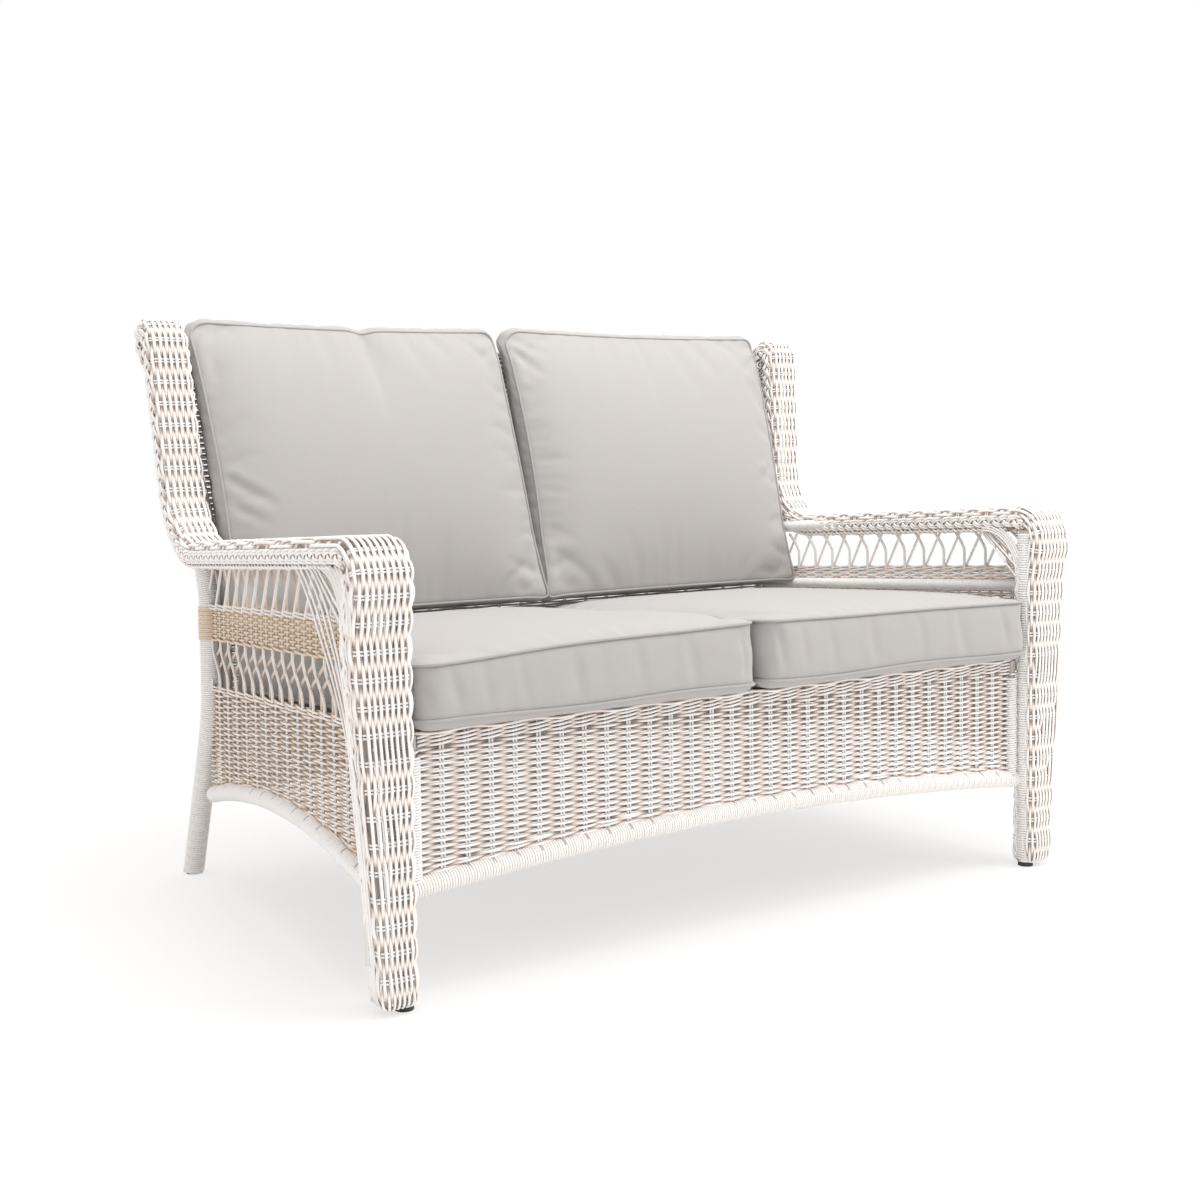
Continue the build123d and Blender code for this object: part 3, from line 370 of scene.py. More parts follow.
def easedLift(stations, stakes, lifts):  # a strand's way over and under the stakes
    slot = np.clip(np.searchsorted(stakes, stations, side="right") - 1, 0, len(stakes) - 2)
    share = np.clip((stations - stakes[slot]) / (stakes[slot + 1] - stakes[slot]), 0.0, 1.0)
    ease = (1.0 - np.cos(pi * share)) / 2.0
    return lifts[slot] * (1.0 - ease) + lifts[slot + 1] * ease


def layStrand(bundle, spot, stations, height, lifted, lift, radius):
    points = spot(stations, height, lifted)
    bundle.add(points, radius, lifted / lift, spot(stations, height, lifted + 1.0) - points)


def weaveRows(bundle, spot, rows, stakes, lift, radius, steps=4, wander=0.3, shortest=12.0):
    for number, (height, spans) in enumerate(rows):
        for start, end in spans:
            if end - start < shortest:
                continue
            stations = stationsAlong(start, end, stakes, steps)
            phase = bundle.dice.uniform(0, 2 * pi)
            drift = height + wander * np.sin(stations / bundle.dice.uniform(60, 110) + phase)
            lifted = easedLift(stations, stakes, overUnder(stakes, lift, number))
            layStrand(bundle, spot, stations, drift, lifted, lift, radius * bundle.dice.uniform(0.96, 1.04))


def pairedStakes(bundle, spot, stakes, bottom, top, radius=1.8, gap=2.3, steps=10):
    for stake in stakes:
        heights = np.linspace(bottom(stake), top(stake), steps)
        for side in (-1, 1):
            bundle.add(spot(np.full(steps, stake + side * gap), heights, np.zeros(steps)), radius, depth=0.12)


# two strands twisted round each other
def twinedRow(bundle, spot, start, end, pitch, height, lift, radius, steps=6):
    stations = np.arange(start, end, pitch / steps)
    for phase in (0.0, pi):
        turn = stations / pitch * pi + phase
        layStrand(bundle, spot, stations, height + radius * 0.75 * np.sin(turn), lift * np.cos(turn), lift, radius)


# a strand wound round a pole; where stakes go round the pole, its top has notches, given as their start and pitch,
# with painted shadow in them
notch = {"deep": 2.2, "spread": 3.0, "from": 0.35, "ramp": 2.4, "shadow": 1.6}


def wrapPole(bundle, path, poleRadius, pitch=4.25, strand=2.1, sink=0.7, points=16, reference=(0, 1, 0),
             notches=None):
    marks, line = along(path, pitch / points)
    heading = unit(np.gradient(line, axis=0))
    first = unit(np.cross(heading, np.asarray(reference, float)))
    second = np.cross(heading, first)
    turn = marks / pitch * 2 * pi
    outward = first * np.cos(turn)[:, None] + second * np.sin(turn)[:, None]
    dent = np.zeros(len(marks))
    if notches is not None:
        start, apart = notches
        away = (marks - start) % apart - apart / 2
        onTop = np.clip((outward[:, 2] - notch["from"]) * notch["ramp"], 0, 1)
        dent = np.exp(-away ** 2 / notch["spread"]) * onTop
    # the notch's shadow share paints shadow into the dent
    reach = poleRadius - sink - notch["deep"] * dent
    bundle.add(line + reach[:, None] * outward, strand, 1.0 - notch["shadow"] * dent, outward)


def bentLine(corners, radius, steps=10):  # corners rounded by arcs
    corners = [np.asarray(c, float) for c in corners]
    line = [corners[0]]
    for before, corner, after in zip(corners[:-2], corners[1:-1], corners[2:]):
        one, two = unit(before - corner), unit(after - corner)
        angle = np.arccos(np.clip(one @ two, -1, 1))
        reach = radius / tan(angle / 2)
        middle = corner + unit(one + two) * radius / sin(angle / 2)
        start, end = corner + one * reach, corner + two * reach
        for share in np.linspace(0, 1, steps + 1):
            line.append(middle + radius * unit((start - middle) * (1 - share) + (end - middle) * share))
    line.append(corners[-1])
    return np.array(line)


# three groups of strands plaited along a line, seen from the side that outward points to
def braid(bundle, path, outward, width=23.0, lift=3.6, period=72.0, radius=2.2, each=2, spacing=1.9,
          stepsPer=16):
    marks, line = along(path, period / stepsPer)
    heading = unit(np.gradient(line, axis=0))
    sideways = unit(np.cross(heading, np.broadcast_to(np.asarray(outward, float), line.shape)))
    face = np.cross(sideways, heading)
    swing = (width - each * radius * 2) / 2
    for strand in range(3):
        turn = marks / period * 2 * pi + strand * 2 * pi / 3
        across, height = swing * np.sin(turn), -np.sin(2 * turn)
        slant = np.arctan(swing * 2 * pi / period * np.cos(turn))
        for number in range(each):
            shift = (number - (each - 1) / 2) * radius * spacing
            points = line + sideways * (across + shift * np.cos(slant))[:, None]
            points = points + heading * (-shift * np.sin(slant))[:, None] + face * (lift * height)[:, None]
            bundle.add(points, radius * bundle.dice.uniform(0.94, 1.06), 0.15 + 0.85 * height, face)


def arcPoints(centre, radius, startDegrees, endDegrees, count):
    angles = np.radians(np.linspace(startDegrees, endDegrees, count))
    return columns(centre[0] + radius * np.cos(angles), centre[1] + radius * np.sin(angles))


def sideName(side):
    return "left" if side < 0 else "right"


# the long band: front leg, nose, arm, wing and scroll; a mark is a place along it, measured from the foot
band = {
    "inner": 592.0, "outerFoot": 650.0, "outerTop": 685.0, "corner": 13.0,  # X of its walls, and their rounding
    "neckZ": 505.0, "neckRise": 60.0, "armZ": 638.0, "noseRadius": 60.0, "crookRadius": 100.0,
    "scrollRadius": 45.0, "scrollY": 361.94, "scrollZ": 935.0, "scrollFrom": (317.2, 939.7),
    "jointY": 147.5, "jointZ": 606.86, "jointInner": 618.0, "jointOuter": 692.0,  # where the arm becomes the wing
    "flareInner": 0.06164, "flareOuter": 0.05896, "armFrom": 30.0, "legLength": 250.0,  # from the neck to the split
    "sink": 5.4, "lift": 3.1, "stake": 36.5, "firstStake": 41.0, "stakeRadius": 1.6, "stakeGap": 2.3,
    "tuck": 13.0, "tuckLength": 15.0,  # the strands turn under the foot
    "bulb": 2.5, "bulbMark": 26.0, "bulbLength": 13.0,  # and swell above it
    "footMarks": (0.0, 1.0, 2.5, 5.0, 9.0, 14.0, 20.0, 28.0),
    "lanes": 21, "laneFill": 0.56, "thinnest": 0.6, "thickest": 2.8, "fade": 60.0, "fadeLead": 20.0,
    "begins": {3: 330.0, 8: 240.0, 13: 170.0, 17: 280.0},  # marks of the strands that start or end on the way
    "ends": {1: 640.0, 4: 930.0, 6: 720.0, 11: 800.0, 15: 690.0, 19: 860.0},
}
# strands on the band's two side walls, the first two unbroken and the rest left out under the nose
wallStrands = {"count": 7, "unbroken": 2, "first": 2.2, "pitch": 4.3, "radius": 2.1, "lift": 0.8, "legPast": 40.0,
               "legStep": 6.0, "armAfter": 120.0, "sunk": 3.2, "sunkAfter": 90.0, "sunkOver": 60.0,
               "stakeDepths": (4.0, 16.0, 31.0)}
noseY, noseZ = shell["frontY"] + band["noseRadius"], band["armZ"] - band["noseRadius"]
bandRound = band["corner"] - band["sink"] + 2.0


def armTop(y):
    return band["armZ"] - (y - noseY) * rake


def bandLine():  # outline of the band's face, in the plane of its side, from the foot to the end of the scroll
    level, lean = 90.0 + rakeDegrees, wingDegrees
    crookY = wingFront(band["jointZ"])
    corner = np.array([crookY, armTop(crookY)])
    back = np.array([cos(rakeAngle), -sin(rakeAngle)])
    start = corner - band["crookRadius"] * tan(radians(level - lean) / 2) * back
    crook = start + band["crookRadius"] * np.array([-back[1], back[0]])
    pieces = [
        np.array([[shell["legY"], shell["footZ"]], [shell["legY"], band["neckZ"]]]),
        np.array([[shell["frontY"], band["neckZ"] + band["neckRise"]], [shell["frontY"], noseZ]]),
        arcPoints((noseY, noseZ), band["noseRadius"], 180, level, 24)[1:],
        arcPoints(crook, band["crookRadius"], -level, -lean, 24),
        arcPoints((band["scrollY"], band["scrollZ"]), band["scrollRadius"], 180 - lean, -90, 60),
    ]
    return along(np.concatenate(pieces), 2.0)


bandMarks, bandOutline = bandLine()
bandHeading = np.gradient(bandOutline, axis=0)
for _ in range(6):  # softens the small kinks where lines meet arcs
    bandHeading[1:-1] = (bandHeading[:-2] + bandHeading[1:-1] * 2 + bandHeading[2:]) / 4
bandHeading = unit(bandHeading)
bandInward = columns(bandHeading[:, 1], -bandHeading[:, 0])
bandLength = bandMarks[-1]


def markNear(y, z):
    return float(bandMarks[np.argmin(np.hypot(bandOutline[:, 0] - y, bandOutline[:, 1] - z))])


markAt = {"neck": markNear(shell["legY"], band["neckZ"]), "joint": markNear(band["jointY"], band["jointZ"]),
          "roll": markNear(*band["scrollFrom"])}
markAt["split"] = markAt["neck"] + band["legLength"]  # where the leg's piece meets the wing's


def bandAt(mark):  # outline point and the way into the band
    tables = (bandOutline, bandInward)
    return tuple(np.interp(mark, bandMarks, table[:, axis]) for table in tables for axis in (0, 1))


def legOuter(z):  # the leg tapers towards the foot
    rise = np.clip((z - shell["footZ"]) / (band["neckZ"] - shell["footZ"]), 0, 1)
    return band["outerFoot"] + (band["outerTop"] - band["outerFoot"]) * rise


def bandWidth(y, z, mark):  # inner and outer X of the band
    armShare = np.clip((y - shell["frontY"]) / (band["jointY"] - shell["frontY"]), 0, 1)
    armInner = band["inner"] + (band["jointInner"] - band["inner"]) * armShare
    armOuter = band["outerTop"] + (band["jointOuter"] - band["outerTop"]) * armShare
    wingInner = band["jointInner"] + (z - band["jointZ"]) * band["flareInner"]
    wingOuter = band["jointOuter"] + (z - band["jointZ"]) * band["flareOuter"]
    onArm, onWing = mark > markAt["neck"] + band["armFrom"], mark > markAt["joint"]
    inner = np.where(onWing, wingInner, np.where(onArm, armInner, band["inner"]))
    outer = np.where(onWing, wingOuter, np.where(onArm, armOuter, legOuter(z)))
    return inner, outer


def footTuck(mark):  # the foot swells a little, then its strands turn under
    under = 1.0 - np.clip(mark / band["tuckLength"], 0, 1)
    swell = np.exp(-((mark - band["bulbMark"]) / band["bulbLength"]) ** 2)
    return band["tuck"] * (1.0 - np.sqrt(1.0 - under ** 2)) - band["bulb"] * swell


# kind is "face", where place runs from 0 to 1 over the face and its corners,
# or "inner" or "outer" for a wall, where place is a depth
def bandSpot(side, mark, kind, place, lift):
    y, z, inY, inZ = bandAt(mark)
    inner, outer = bandWidth(y, z, mark)
    inner, outer, lift = inner + band["sink"], outer - band["sink"], lift - footTuck(mark)
    if kind == "face":
        arc = pi / 2 * bandRound
        flat = outer - inner - 2 * bandRound
        run = place * (flat + 2 * arc)
        first, last = run < arc, run > arc + flat
        angle = np.where(first, run / bandRound, (run - arc - flat) / bandRound) * (first | last)
        sine, cosine = np.sin(angle), np.cos(angle)
        x = np.where(first, inner + bandRound - bandRound * cosine,
                     np.where(last, outer - bandRound + bandRound * sine, inner + bandRound + run - arc))
        depth = band["sink"] + bandRound * np.where(first, 1 - sine, np.where(last, 1 - cosine, 0.0))
        outX = np.where(first, -cosine, np.where(last, sine, 0.0))
        outDepth = np.where(first, -sine, np.where(last, -cosine, -1.0))
    else:
        x, outX = (inner, -1.0) if kind == "inner" else (outer, 1.0)
        depth, outDepth = band["sink"] + bandRound + place, 0.0
    x, depth = x + outX * lift, depth + outDepth * lift
    return columns(side * x, y + inY * depth, z + inZ * depth)


def faceWidth(mark):
    y, z, _, _ = bandAt(mark)
    inner, outer = bandWidth(y, z, mark)
    return outer - inner - 2 * band["sink"] - 2 * bandRound + pi * bandRound


def laneShares(lanes, mark):  # where each strand lies across the face, and how much of it the strand takes
    lead, fade = band["fadeLead"], band["fade"]
    whole = 1.0 + 0 * mark
    weights = []
    for start, end in lanes:
        grown = smooth((mark - start + lead) / fade) if start > 0 else whole
        weights.append(grown * (smooth((end + lead - mark) / fade) if end < bandLength else whole))
    weights = np.array(weights)
    total = weights.sum(axis=0)
    return (np.cumsum(weights, axis=0) - weights / 2) / total, weights / total


def footStations(stations):  # more places where the strands turn under
    extra = band["footMarks"] if stations[0] < 1 else ()
    return np.unique(np.concatenate([stations, [markAt["split"]], extra]))


def wallSunk(mark):  # on the arm and the wing the walls lie deeper, under their plaits
    past = mark - markAt["neck"] - wallStrands["sunkAfter"]
    return wallStrands["sunk"] * smooth(past / wallStrands["sunkOver"])


def weaveBand(side, seed):
    stakes = np.arange(band["firstStake"] - band["stake"], bandLength - 6, band["stake"])
    stakes = np.append(stakes, bandLength + band["stake"])
    begins, ends = band["begins"], band["ends"]
    lanes = [(begins.get(number, 0.0), ends.get(number, bandLength)) for number in range(band["lanes"])]
    widths = laneShares(lanes, stakes)[1]
    order = np.cumsum(widths > 0.5 / band["lanes"], axis=0)
    bundles = {"Leg": Bundle(seed), "Wing": Bundle(seed + 1)}
    dice = np.random.default_rng(seed + 7)

    def lay(kind, place, radius, stations, lifted):
        tint = dice.uniform(0, 1)
        points = bandSpot(side, stations, kind, place, lifted)
        facing = bandSpot(side, stations, kind, place, lifted + 1.0) - points
        radius = perPoint(radius, len(stations))
        for part, low, high in (("Leg", -1, markAt["split"]), ("Wing", markAt["split"], bandLength + 1)):
            keep = (stations >= low) & (stations <= high)
            if keep.sum() > 2:
                bundles[part].add(points[keep], radius[keep], (lifted / band["lift"])[keep], facing[keep], tint)

    for lane, (start, end) in enumerate(lanes):
        stations = footStations(stationsAlong(start, end, stakes))
        laneShare, laneWidth = laneShares(lanes, stations)
        radius = laneWidth[lane] * faceWidth(stations) * band["laneFill"]
        lifts = overUnder(stakes, band["lift"], order[lane])
        lay("face", laneShare[lane], np.clip(radius, band["thinnest"], band["thickest"]), stations,
            easedLift(stations, stakes, lifts))
    legEnd, armStart = markAt["neck"] + wallStrands["legPast"], markAt["neck"] + wallStrands["armAfter"]
    for wall, parity in (("inner", 0), ("outer", band["lanes"])):
        for number in range(wallStrands["count"]):
            depth = wallStrands["first"] + number * wallStrands["pitch"]
            lifts = overUnder(stakes, band["lift"] * wallStrands["lift"], number + parity)
            spans = [(0, legEnd - number * wallStrands["legStep"]), (armStart, bandLength)]
            for start, end in [(0, bandLength)] if number < wallStrands["unbroken"] else spans:
                stations = footStations(stationsAlong(start, end, stakes))
                sunk = wallSunk(stations) if start > 0 else 0.0
                lay(wall, depth, wallStrands["radius"], stations, easedLift(stations, stakes, lifts) - sunk)
    shares = np.linspace(0.0, 1.0, 15)
    for stake in stakes[1:-1]:
        low = np.array([-float(wallSunk(stake))])
        for offset in (-band["stakeGap"], band["stakeGap"]):
            mark = np.array([stake + offset])
            route = [("inner", depth, low) for depth in wallStrands["stakeDepths"][::-1]]
            route += [("face", share, np.zeros(1)) for share in shares]
            route += [("outer", depth, low) for depth in wallStrands["stakeDepths"]]
            ring = [bandSpot(side, mark, kind, place, lift)[0] for kind, place, lift in route]
            bundles["Leg" if stake < markAt["split"] else "Wing"].add(ring, band["stakeRadius"], depth=0.12)
    prefix = sideName(side)
    bundles["Leg"].build(prefix + "LegWeave", replaces=(prefix + "_leg_band", prefix + "_arm_band"))
    bundles["Wing"].build(prefix + "WingWeave", replaces=(prefix + "_wing_band",))


# plaits and a rope along the edges of the band, and the strands that fill its corner under the nose
# depth is measured into the band, proud is outwards from its wall
edging = {
    "noseAfter": 128.0,
    "armPlait": {"depth": 26.0, "proud": -2.8},
    "rope": {"after": 60.0, "short": 20.0, "depth": 40.5, "proud": -5.0,
             "twist": 26.0, "swing": 2.0, "radius": 2.1},
    "legPlait": {"from": 14.0, "short": 25.0, "depth": 35.0, "proud": -4.6,
                 "width": 15.0, "lift": 3.0, "period": 90.0, "radius": 1.95},
    "gusset": {"y": -327.5, "z": 520.15, "radius": 70.0, "first": 2.2, "pitch": 4.2, "from": 186.0, "to": 84.0,
               "count": {"inner": 4, "outer": 9}, "sunk": 4.4, "top": 599.0, "strand": 2.0},
    "slant": {"count": 4, "topY": 34.0, "topStep": 15.0, "topZ": 598.0, "lowY": 39.0,
              "lowStep": 5.0, "lowZ": 418.0, "lowDrop": 52.0, "bendY": 66.0, "bendZ": 540.0, "bendDrop": 16.0,
              "end": 16.0, "sunk": 1.6, "strand": 2.0},
}


def edgePath(side, wall, startMark, endMark, depth, proud):
    marks = np.arange(startMark, endMark, 6.0)
    y, z, inY, inZ = bandAt(marks)
    inner, outer = bandWidth(y, z, marks)
    x = (inner - proud) if wall == "inner" else (outer + proud)
    return columns(side * x, y + inY * depth, z + inZ * depth)


def plaitsAndRope(bundle, side, wall, facing):
    noseMark = markAt["neck"] + edging["noseAfter"]
    plait, rope, legPlait = edging["armPlait"], edging["rope"], edging["legPlait"]
    braid(bundle, edgePath(side, wall, noseMark, bandLength - 4, plait["depth"], plait["proud"]), facing)
    start, end = noseMark + rope["after"], markAt["roll"] - rope["short"]
    marks, line = along(edgePath(side, wall, start, end, rope["depth"], rope["proud"]), 4.0)
    for turn in (0.0, pi):
        twist = marks / rope["twist"] * 2 * pi + turn
        swung = line + rope["swing"] * columns(facing[0] * np.cos(twist), 0.0, np.sin(twist))
        bundle.add(swung, rope["radius"], np.cos(twist), facing)
    start, end = legPlait["from"], noseMark - legPlait["short"]
    path = edgePath(side, wall, start, end, legPlait["depth"], legPlait["proud"])
    braid(bundle, path, facing, *(legPlait[key] for key in ("width", "lift", "period", "radius")))


def fillGusset(bundle, side, wall, facing):  # curved strands round the corner under the nose
    spec = edging["gusset"]
    wallX = band["inner"] + spec["sunk"] if wall == "inner" else band["outerTop"] - spec["sunk"]
    for number in range(spec["count"][wall]):
        reach = spec["radius"] + spec["first"] + number * spec["pitch"]
        arc = arcPoints((spec["y"], spec["z"]), reach, spec["from"], spec["to"], 18)
        arc = arc[(arc[:, 1] < spec["top"]) & (arc[:, 0] > shell["legY"] + 8)]
        # every second strand gets more painted shade, as if it lay behind
        bundle.add(columns(side * wallX, arc[:, 0], arc[:, 1]), spec["strand"], 0.95 - 0.9 * (number % 2), facing)


def slantStrands(bundle, side, facing):  # long strands from the arm's underside across the leg's edge
    spec, gusset = edging["slant"], edging["gusset"]
    share = np.linspace(0, 1, 20)[:, None]
    for number in range(spec["count"]):
        top = np.array([gusset["y"] + spec["topY"] + spec["topStep"] * number, spec["topZ"] - number * 2.0])
        bend = np.array([gusset["y"] - spec["bendY"] + 4.0 * number, spec["bendZ"] - spec["bendDrop"] * number])
        lowY = shell["legY"] + spec["lowY"] - spec["lowStep"] * number
        low = np.array([lowY, spec["lowZ"] - spec["lowDrop"] * number])
        line = (1 - share) ** 2 * top + 2 * share * (1 - share) * bend + share ** 2 * low
        run = np.linspace(low[1] - 12, spec["end"], 16)
        y = np.append(line[:, 0], low[0] + 3.0 * np.sin((low[1] - run) / 70.0 + number))
        z = np.append(line[:, 1], run)
        x = legOuter(z) - spec["sunk"] - 0.6 * (number % 2)
        bundle.add(columns(side * x, y, z), spec["strand"], 0.9, facing)


def edgeTrim(side, seed):
    bundle = Bundle(seed)
    for wall, facing in (("inner", (-side, 0, 0)), ("outer", (side, 0, 0))):
        plaitsAndRope(bundle, side, wall, facing)
        fillGusset(bundle, side, wall, facing)
    slantStrands(bundle, side, (side, 0, 0))
    bundle.build(sideName(side) + "EdgeBraids")


for side, seed in ((-1, 11), (1, 41)):
    weaveBand(side, seed)
    edgeTrim(side, seed + 20)
print("leg, arm and wing bands woven")


# front skirt, its arched rail and its wrapped end posts
skirt = {
    "half": 576.0, "top": 366.0, "railEnd": 154.0, "railMiddle": 186.0, "reach": 599.5, "railRadius": 14.0,
    "stakes": 16, "stake": 38.4, "pitch": 4.4, "strand": 2.0, "lift": 3.2, "topBand": 18.0, "nearArch": 8.0,
    "archStrands": {"count": 3, "first": 0.8, "pitch": 4.2, "radius": 2.1, "lift": 0.8},
    "twined": {"count": 3, "first": 2.5, "pitch": 5.4, "lift": 3.6, "radius": 2.0},
    "rowEnds": {"x": 584.0, "from": 22.0, "reach": 9.0, "radius": 1.9, "turns": ((-0.8, -0.3, 5), (-0.5, 0.5, 9))},
    "post": {"x": 582.0, "behind": 2.5, "bottom": 166.0, "top": 338.0, "radius": 9.6, "pitch": 4.0, "strand": 1.95},
    "notches": (0.0, 38.6),
}


def archHeight(x, end, middle, reach):  # a circle's arc that falls from middle to end over the reach
    sag = middle - end
    radius = (reach ** 2 + sag ** 2) / (2 * sag)
    return middle - (radius - np.sqrt(radius ** 2 - np.asarray(x, float) ** 2))


def skirtSpot(x, z, lift):
    return columns(x, shell["skirtY"] - lift, z)


def skirtArch(x):
    return archHeight(x, skirt["railEnd"], skirt["railMiddle"], skirt["reach"]) + skirt["railRadius"]


def besideArch(half, clearAt, height, samples):  # a whole row, or its two ends where the arch cuts it
    probe = np.linspace(0, half, samples)
    inside = probe[clearAt(probe) > height]
    edge = float(inside[-1]) if len(inside) else None
    return [(-half, half)] if edge is None else [(-half, -edge), (edge, half)]


def weaveSkirt():
    bundle = Bundle(71)
    half, lift, top = skirt["half"], skirt["lift"], skirt["top"] - skirt["topBand"]
    stakes = np.arange(-skirt["stakes"], skirt["stakes"] + 1) * skirt["stake"]
    rows = [(height, besideArch(half, lambda x: skirtArch(x) + skirt["nearArch"], height, 600))
            for height in np.arange(skirtArch(half) + 2, top, skirt["pitch"])]
    weaveRows(bundle, skirtSpot, rows, stakes, lift, skirt["strand"])
    inner = stakes[np.abs(stakes) < half - 8]
    pairedStakes(bundle, skirtSpot, inner, lambda x: float(skirtArch(x)) - 8, lambda x: skirt["top"] + 2, steps=6)
    spec = skirt["archStrands"]
    x = np.linspace(-half, half, 80)
    for number in range(spec["count"]):  # long strands along the arch
        lifted = easedLift(x, stakes, overUnder(stakes, lift * spec["lift"], number))
        height = skirtArch(x) + spec["first"] + number * spec["pitch"]
        layStrand(bundle, skirtSpot, x, height, lifted, lift, spec["radius"])
    spec = skirt["twined"]
    for number in range(spec["count"]):
        height = top + spec["first"] + number * spec["pitch"]
        twinedRow(bundle, skirtSpot, -half, half, skirt["stake"], height, spec["lift"], spec["radius"])
    spec = skirt["rowEnds"]  # every second row goes right round the end post
    for number, height in enumerate(np.arange(skirt["railEnd"] + spec["from"], top, skirt["pitch"])):
        start, end, count = spec["turns"][number % 2]
        angle = np.linspace(start * pi, end * pi, count)
        for side in (-1, 1):
            outward = columns(side * np.cos(angle), np.sin(angle), 0.0)
            loop = (side * spec["x"], shell["skirtY"], height) + outward * spec["reach"]
            bundle.add(loop, spec["radius"], 1.0, outward)
    bundle.build("skirtWeave", "skirt", replaces=("skirt_panel",))
    wraps = Bundle(72)
    x = np.linspace(2 - skirt["reach"], skirt["reach"] - 2, 240)
    rail = columns(x, shell["skirtY"], skirtArch(x) - skirt["railRadius"])
    wrapPole(wraps, rail, skirt["railRadius"], notches=skirt["notches"])
    post = skirt["post"]
    for side in (-1, 1):
        line = [(side * post["x"], shell["skirtY"] - post["behind"], z) for z in (post["bottom"], post["top"])]
        wrapPole(wraps, line, post["radius"], post["pitch"], post["strand"], points=12)
    wraps.build("skirtWraps", "wrap", "wrapped_resin")


weaveSkirt()
print("skirt woven")


# side units: close weave below, open-work, narrow band, tan on the left with painted shade, open-work, and the
# wrapped poles
# run is a place along the side from the leg to the rear post, and every height but the rail's falls with the rake
sideUnit = {
    "length": 719.2, "acrossX": 31.0, "acrossY": 718.5,  # from the stile to the rear post
    "lower": 387.0, "middle": 468.0, "upper": 524.0, "armLine": 604.0,
    "railFront": 181.0, "railMiddle": 208.0, "railRear": 156.0, "railRadius": 13.0, "notches": (2.0, 50.0),
    "pitch": 4.6, "stake": 50.0, "firstStake": 22.0, "lift": 2.8, "strand": 2.0,
    "railStrands": {"count": 2, "first": 1.5, "pitch": 4.2, "swing": 1.2, "lift": 1.6, "radius": 2.1},
    "lowerTwined": {"count": 2, "first": 1.0, "pitch": -5.2, "lift": 3.0, "radius": 2.0},
    "narrow": {"stake": 25.0, "firstStake": 9.5, "from": 7.5, "to": 3.0, "pitch": 4.5, "lift": 2.3, "strand": 2.05,
               "twined": 1.5, "twinedLift": 3.0, "stakeRadius": 1.7, "stakeGap": 2.0},
    "loops": {"start": -0.62, "end": 0.55, "pair": 1.6, "reach": 18.2, "radius": 1.9, "pitch": 7.2},
    "upperTwined": {"count": 2, "first": -1.0, "pitch": 5.0, "lift": 4.2, "radius": 2.1},
}
# canes of the open-work: pale at the front, with painted shade where they lie behind, deepest on the left, which is
# seen from outside
canes = {
    "upper": {"pitch": 50.0, "first": 22.0, "radius": 2.6, "apart": 2.4, "lift": 2.3, "forward": 0.85,
              "rearward": 0.55, "wobble": 2.0, "bottom": 3.0, "top": 6.0},
    "lower": {"pitch": 46.0, "first": 12.0, "radius": 2.3, "lift": 2.4, "lean": 0.9, "wobble": 2.0, "tucked": 2.0,
              "twinRadius": 1.95, "twinApart": 2.1, "twinLift": -2.2, "twinLean": 1.5},
    "shadeFront": 0.2, "shadeBehind": {-1: 0.62, 1: 0.3},
}
sidePoles = {"rearFoot": (631.0, 399.5, 6.0), "rearKneeZ": 300.0, "bend": 260.0,
             "rearPitch": 3.6, "rearStrand": 1.85,
             "frontX": 607.0, "frontY": -414.5, "frontZ": (10.0, 592.0), "frontRadius": 15.0,
             "shoe": ((0.0, -1.0, 19.5), (-1.5, 6.0, 19.0), (-3.0, 13.0, 17.8)),  # Y, Z and radius at the rear foot
             "rails": {"_arm_rail": 11.0, "_stretcher": 9.0}}
web = {"behind": 14.0, "from": 652.0, "to": 889.0, "pitch": 4.6, "lift": 2.2, "strand": 2.1}
toe = np.array([sideUnit["acrossX"], sideUnit["acrossY"]]) / hypot(sideUnit["acrossX"], sideUnit["acrossY"])


def sideSpot(side):
    def spot(run, height, lift):
        x = -shell["stileX"] + toe[0] * run - toe[1] * lift
        y = shell["stileY"] + toe[1] * run + toe[0] * lift
        return columns(-side * x, y, height)
    return spot


def rakedSpot(side):  # the same with heights that fall with the rake
    spot = sideSpot(side)
    return lambda run, height, lift: spot(run, height - run * rake, lift)


def sideArch(run):  # middle of the side's bottom rail
    half = sideUnit["length"] / 2
    start, mid, end = sideUnit["railFront"], sideUnit["railMiddle"], sideUnit["railRear"]
    share = (np.asarray(run, float) - half) / half
    return mid + (end - start) / 2 * share + ((start + end) / 2 - mid) * share ** 2


def twinedRows(bundle, spot, base, spec):
    for number in range(spec["count"]):
        height = base + spec["first"] + number * spec["pitch"]
        twinedRow(bundle, spot, 2, sideUnit["length"] - 2, sideUnit["stake"], height, spec["lift"], spec["radius"])


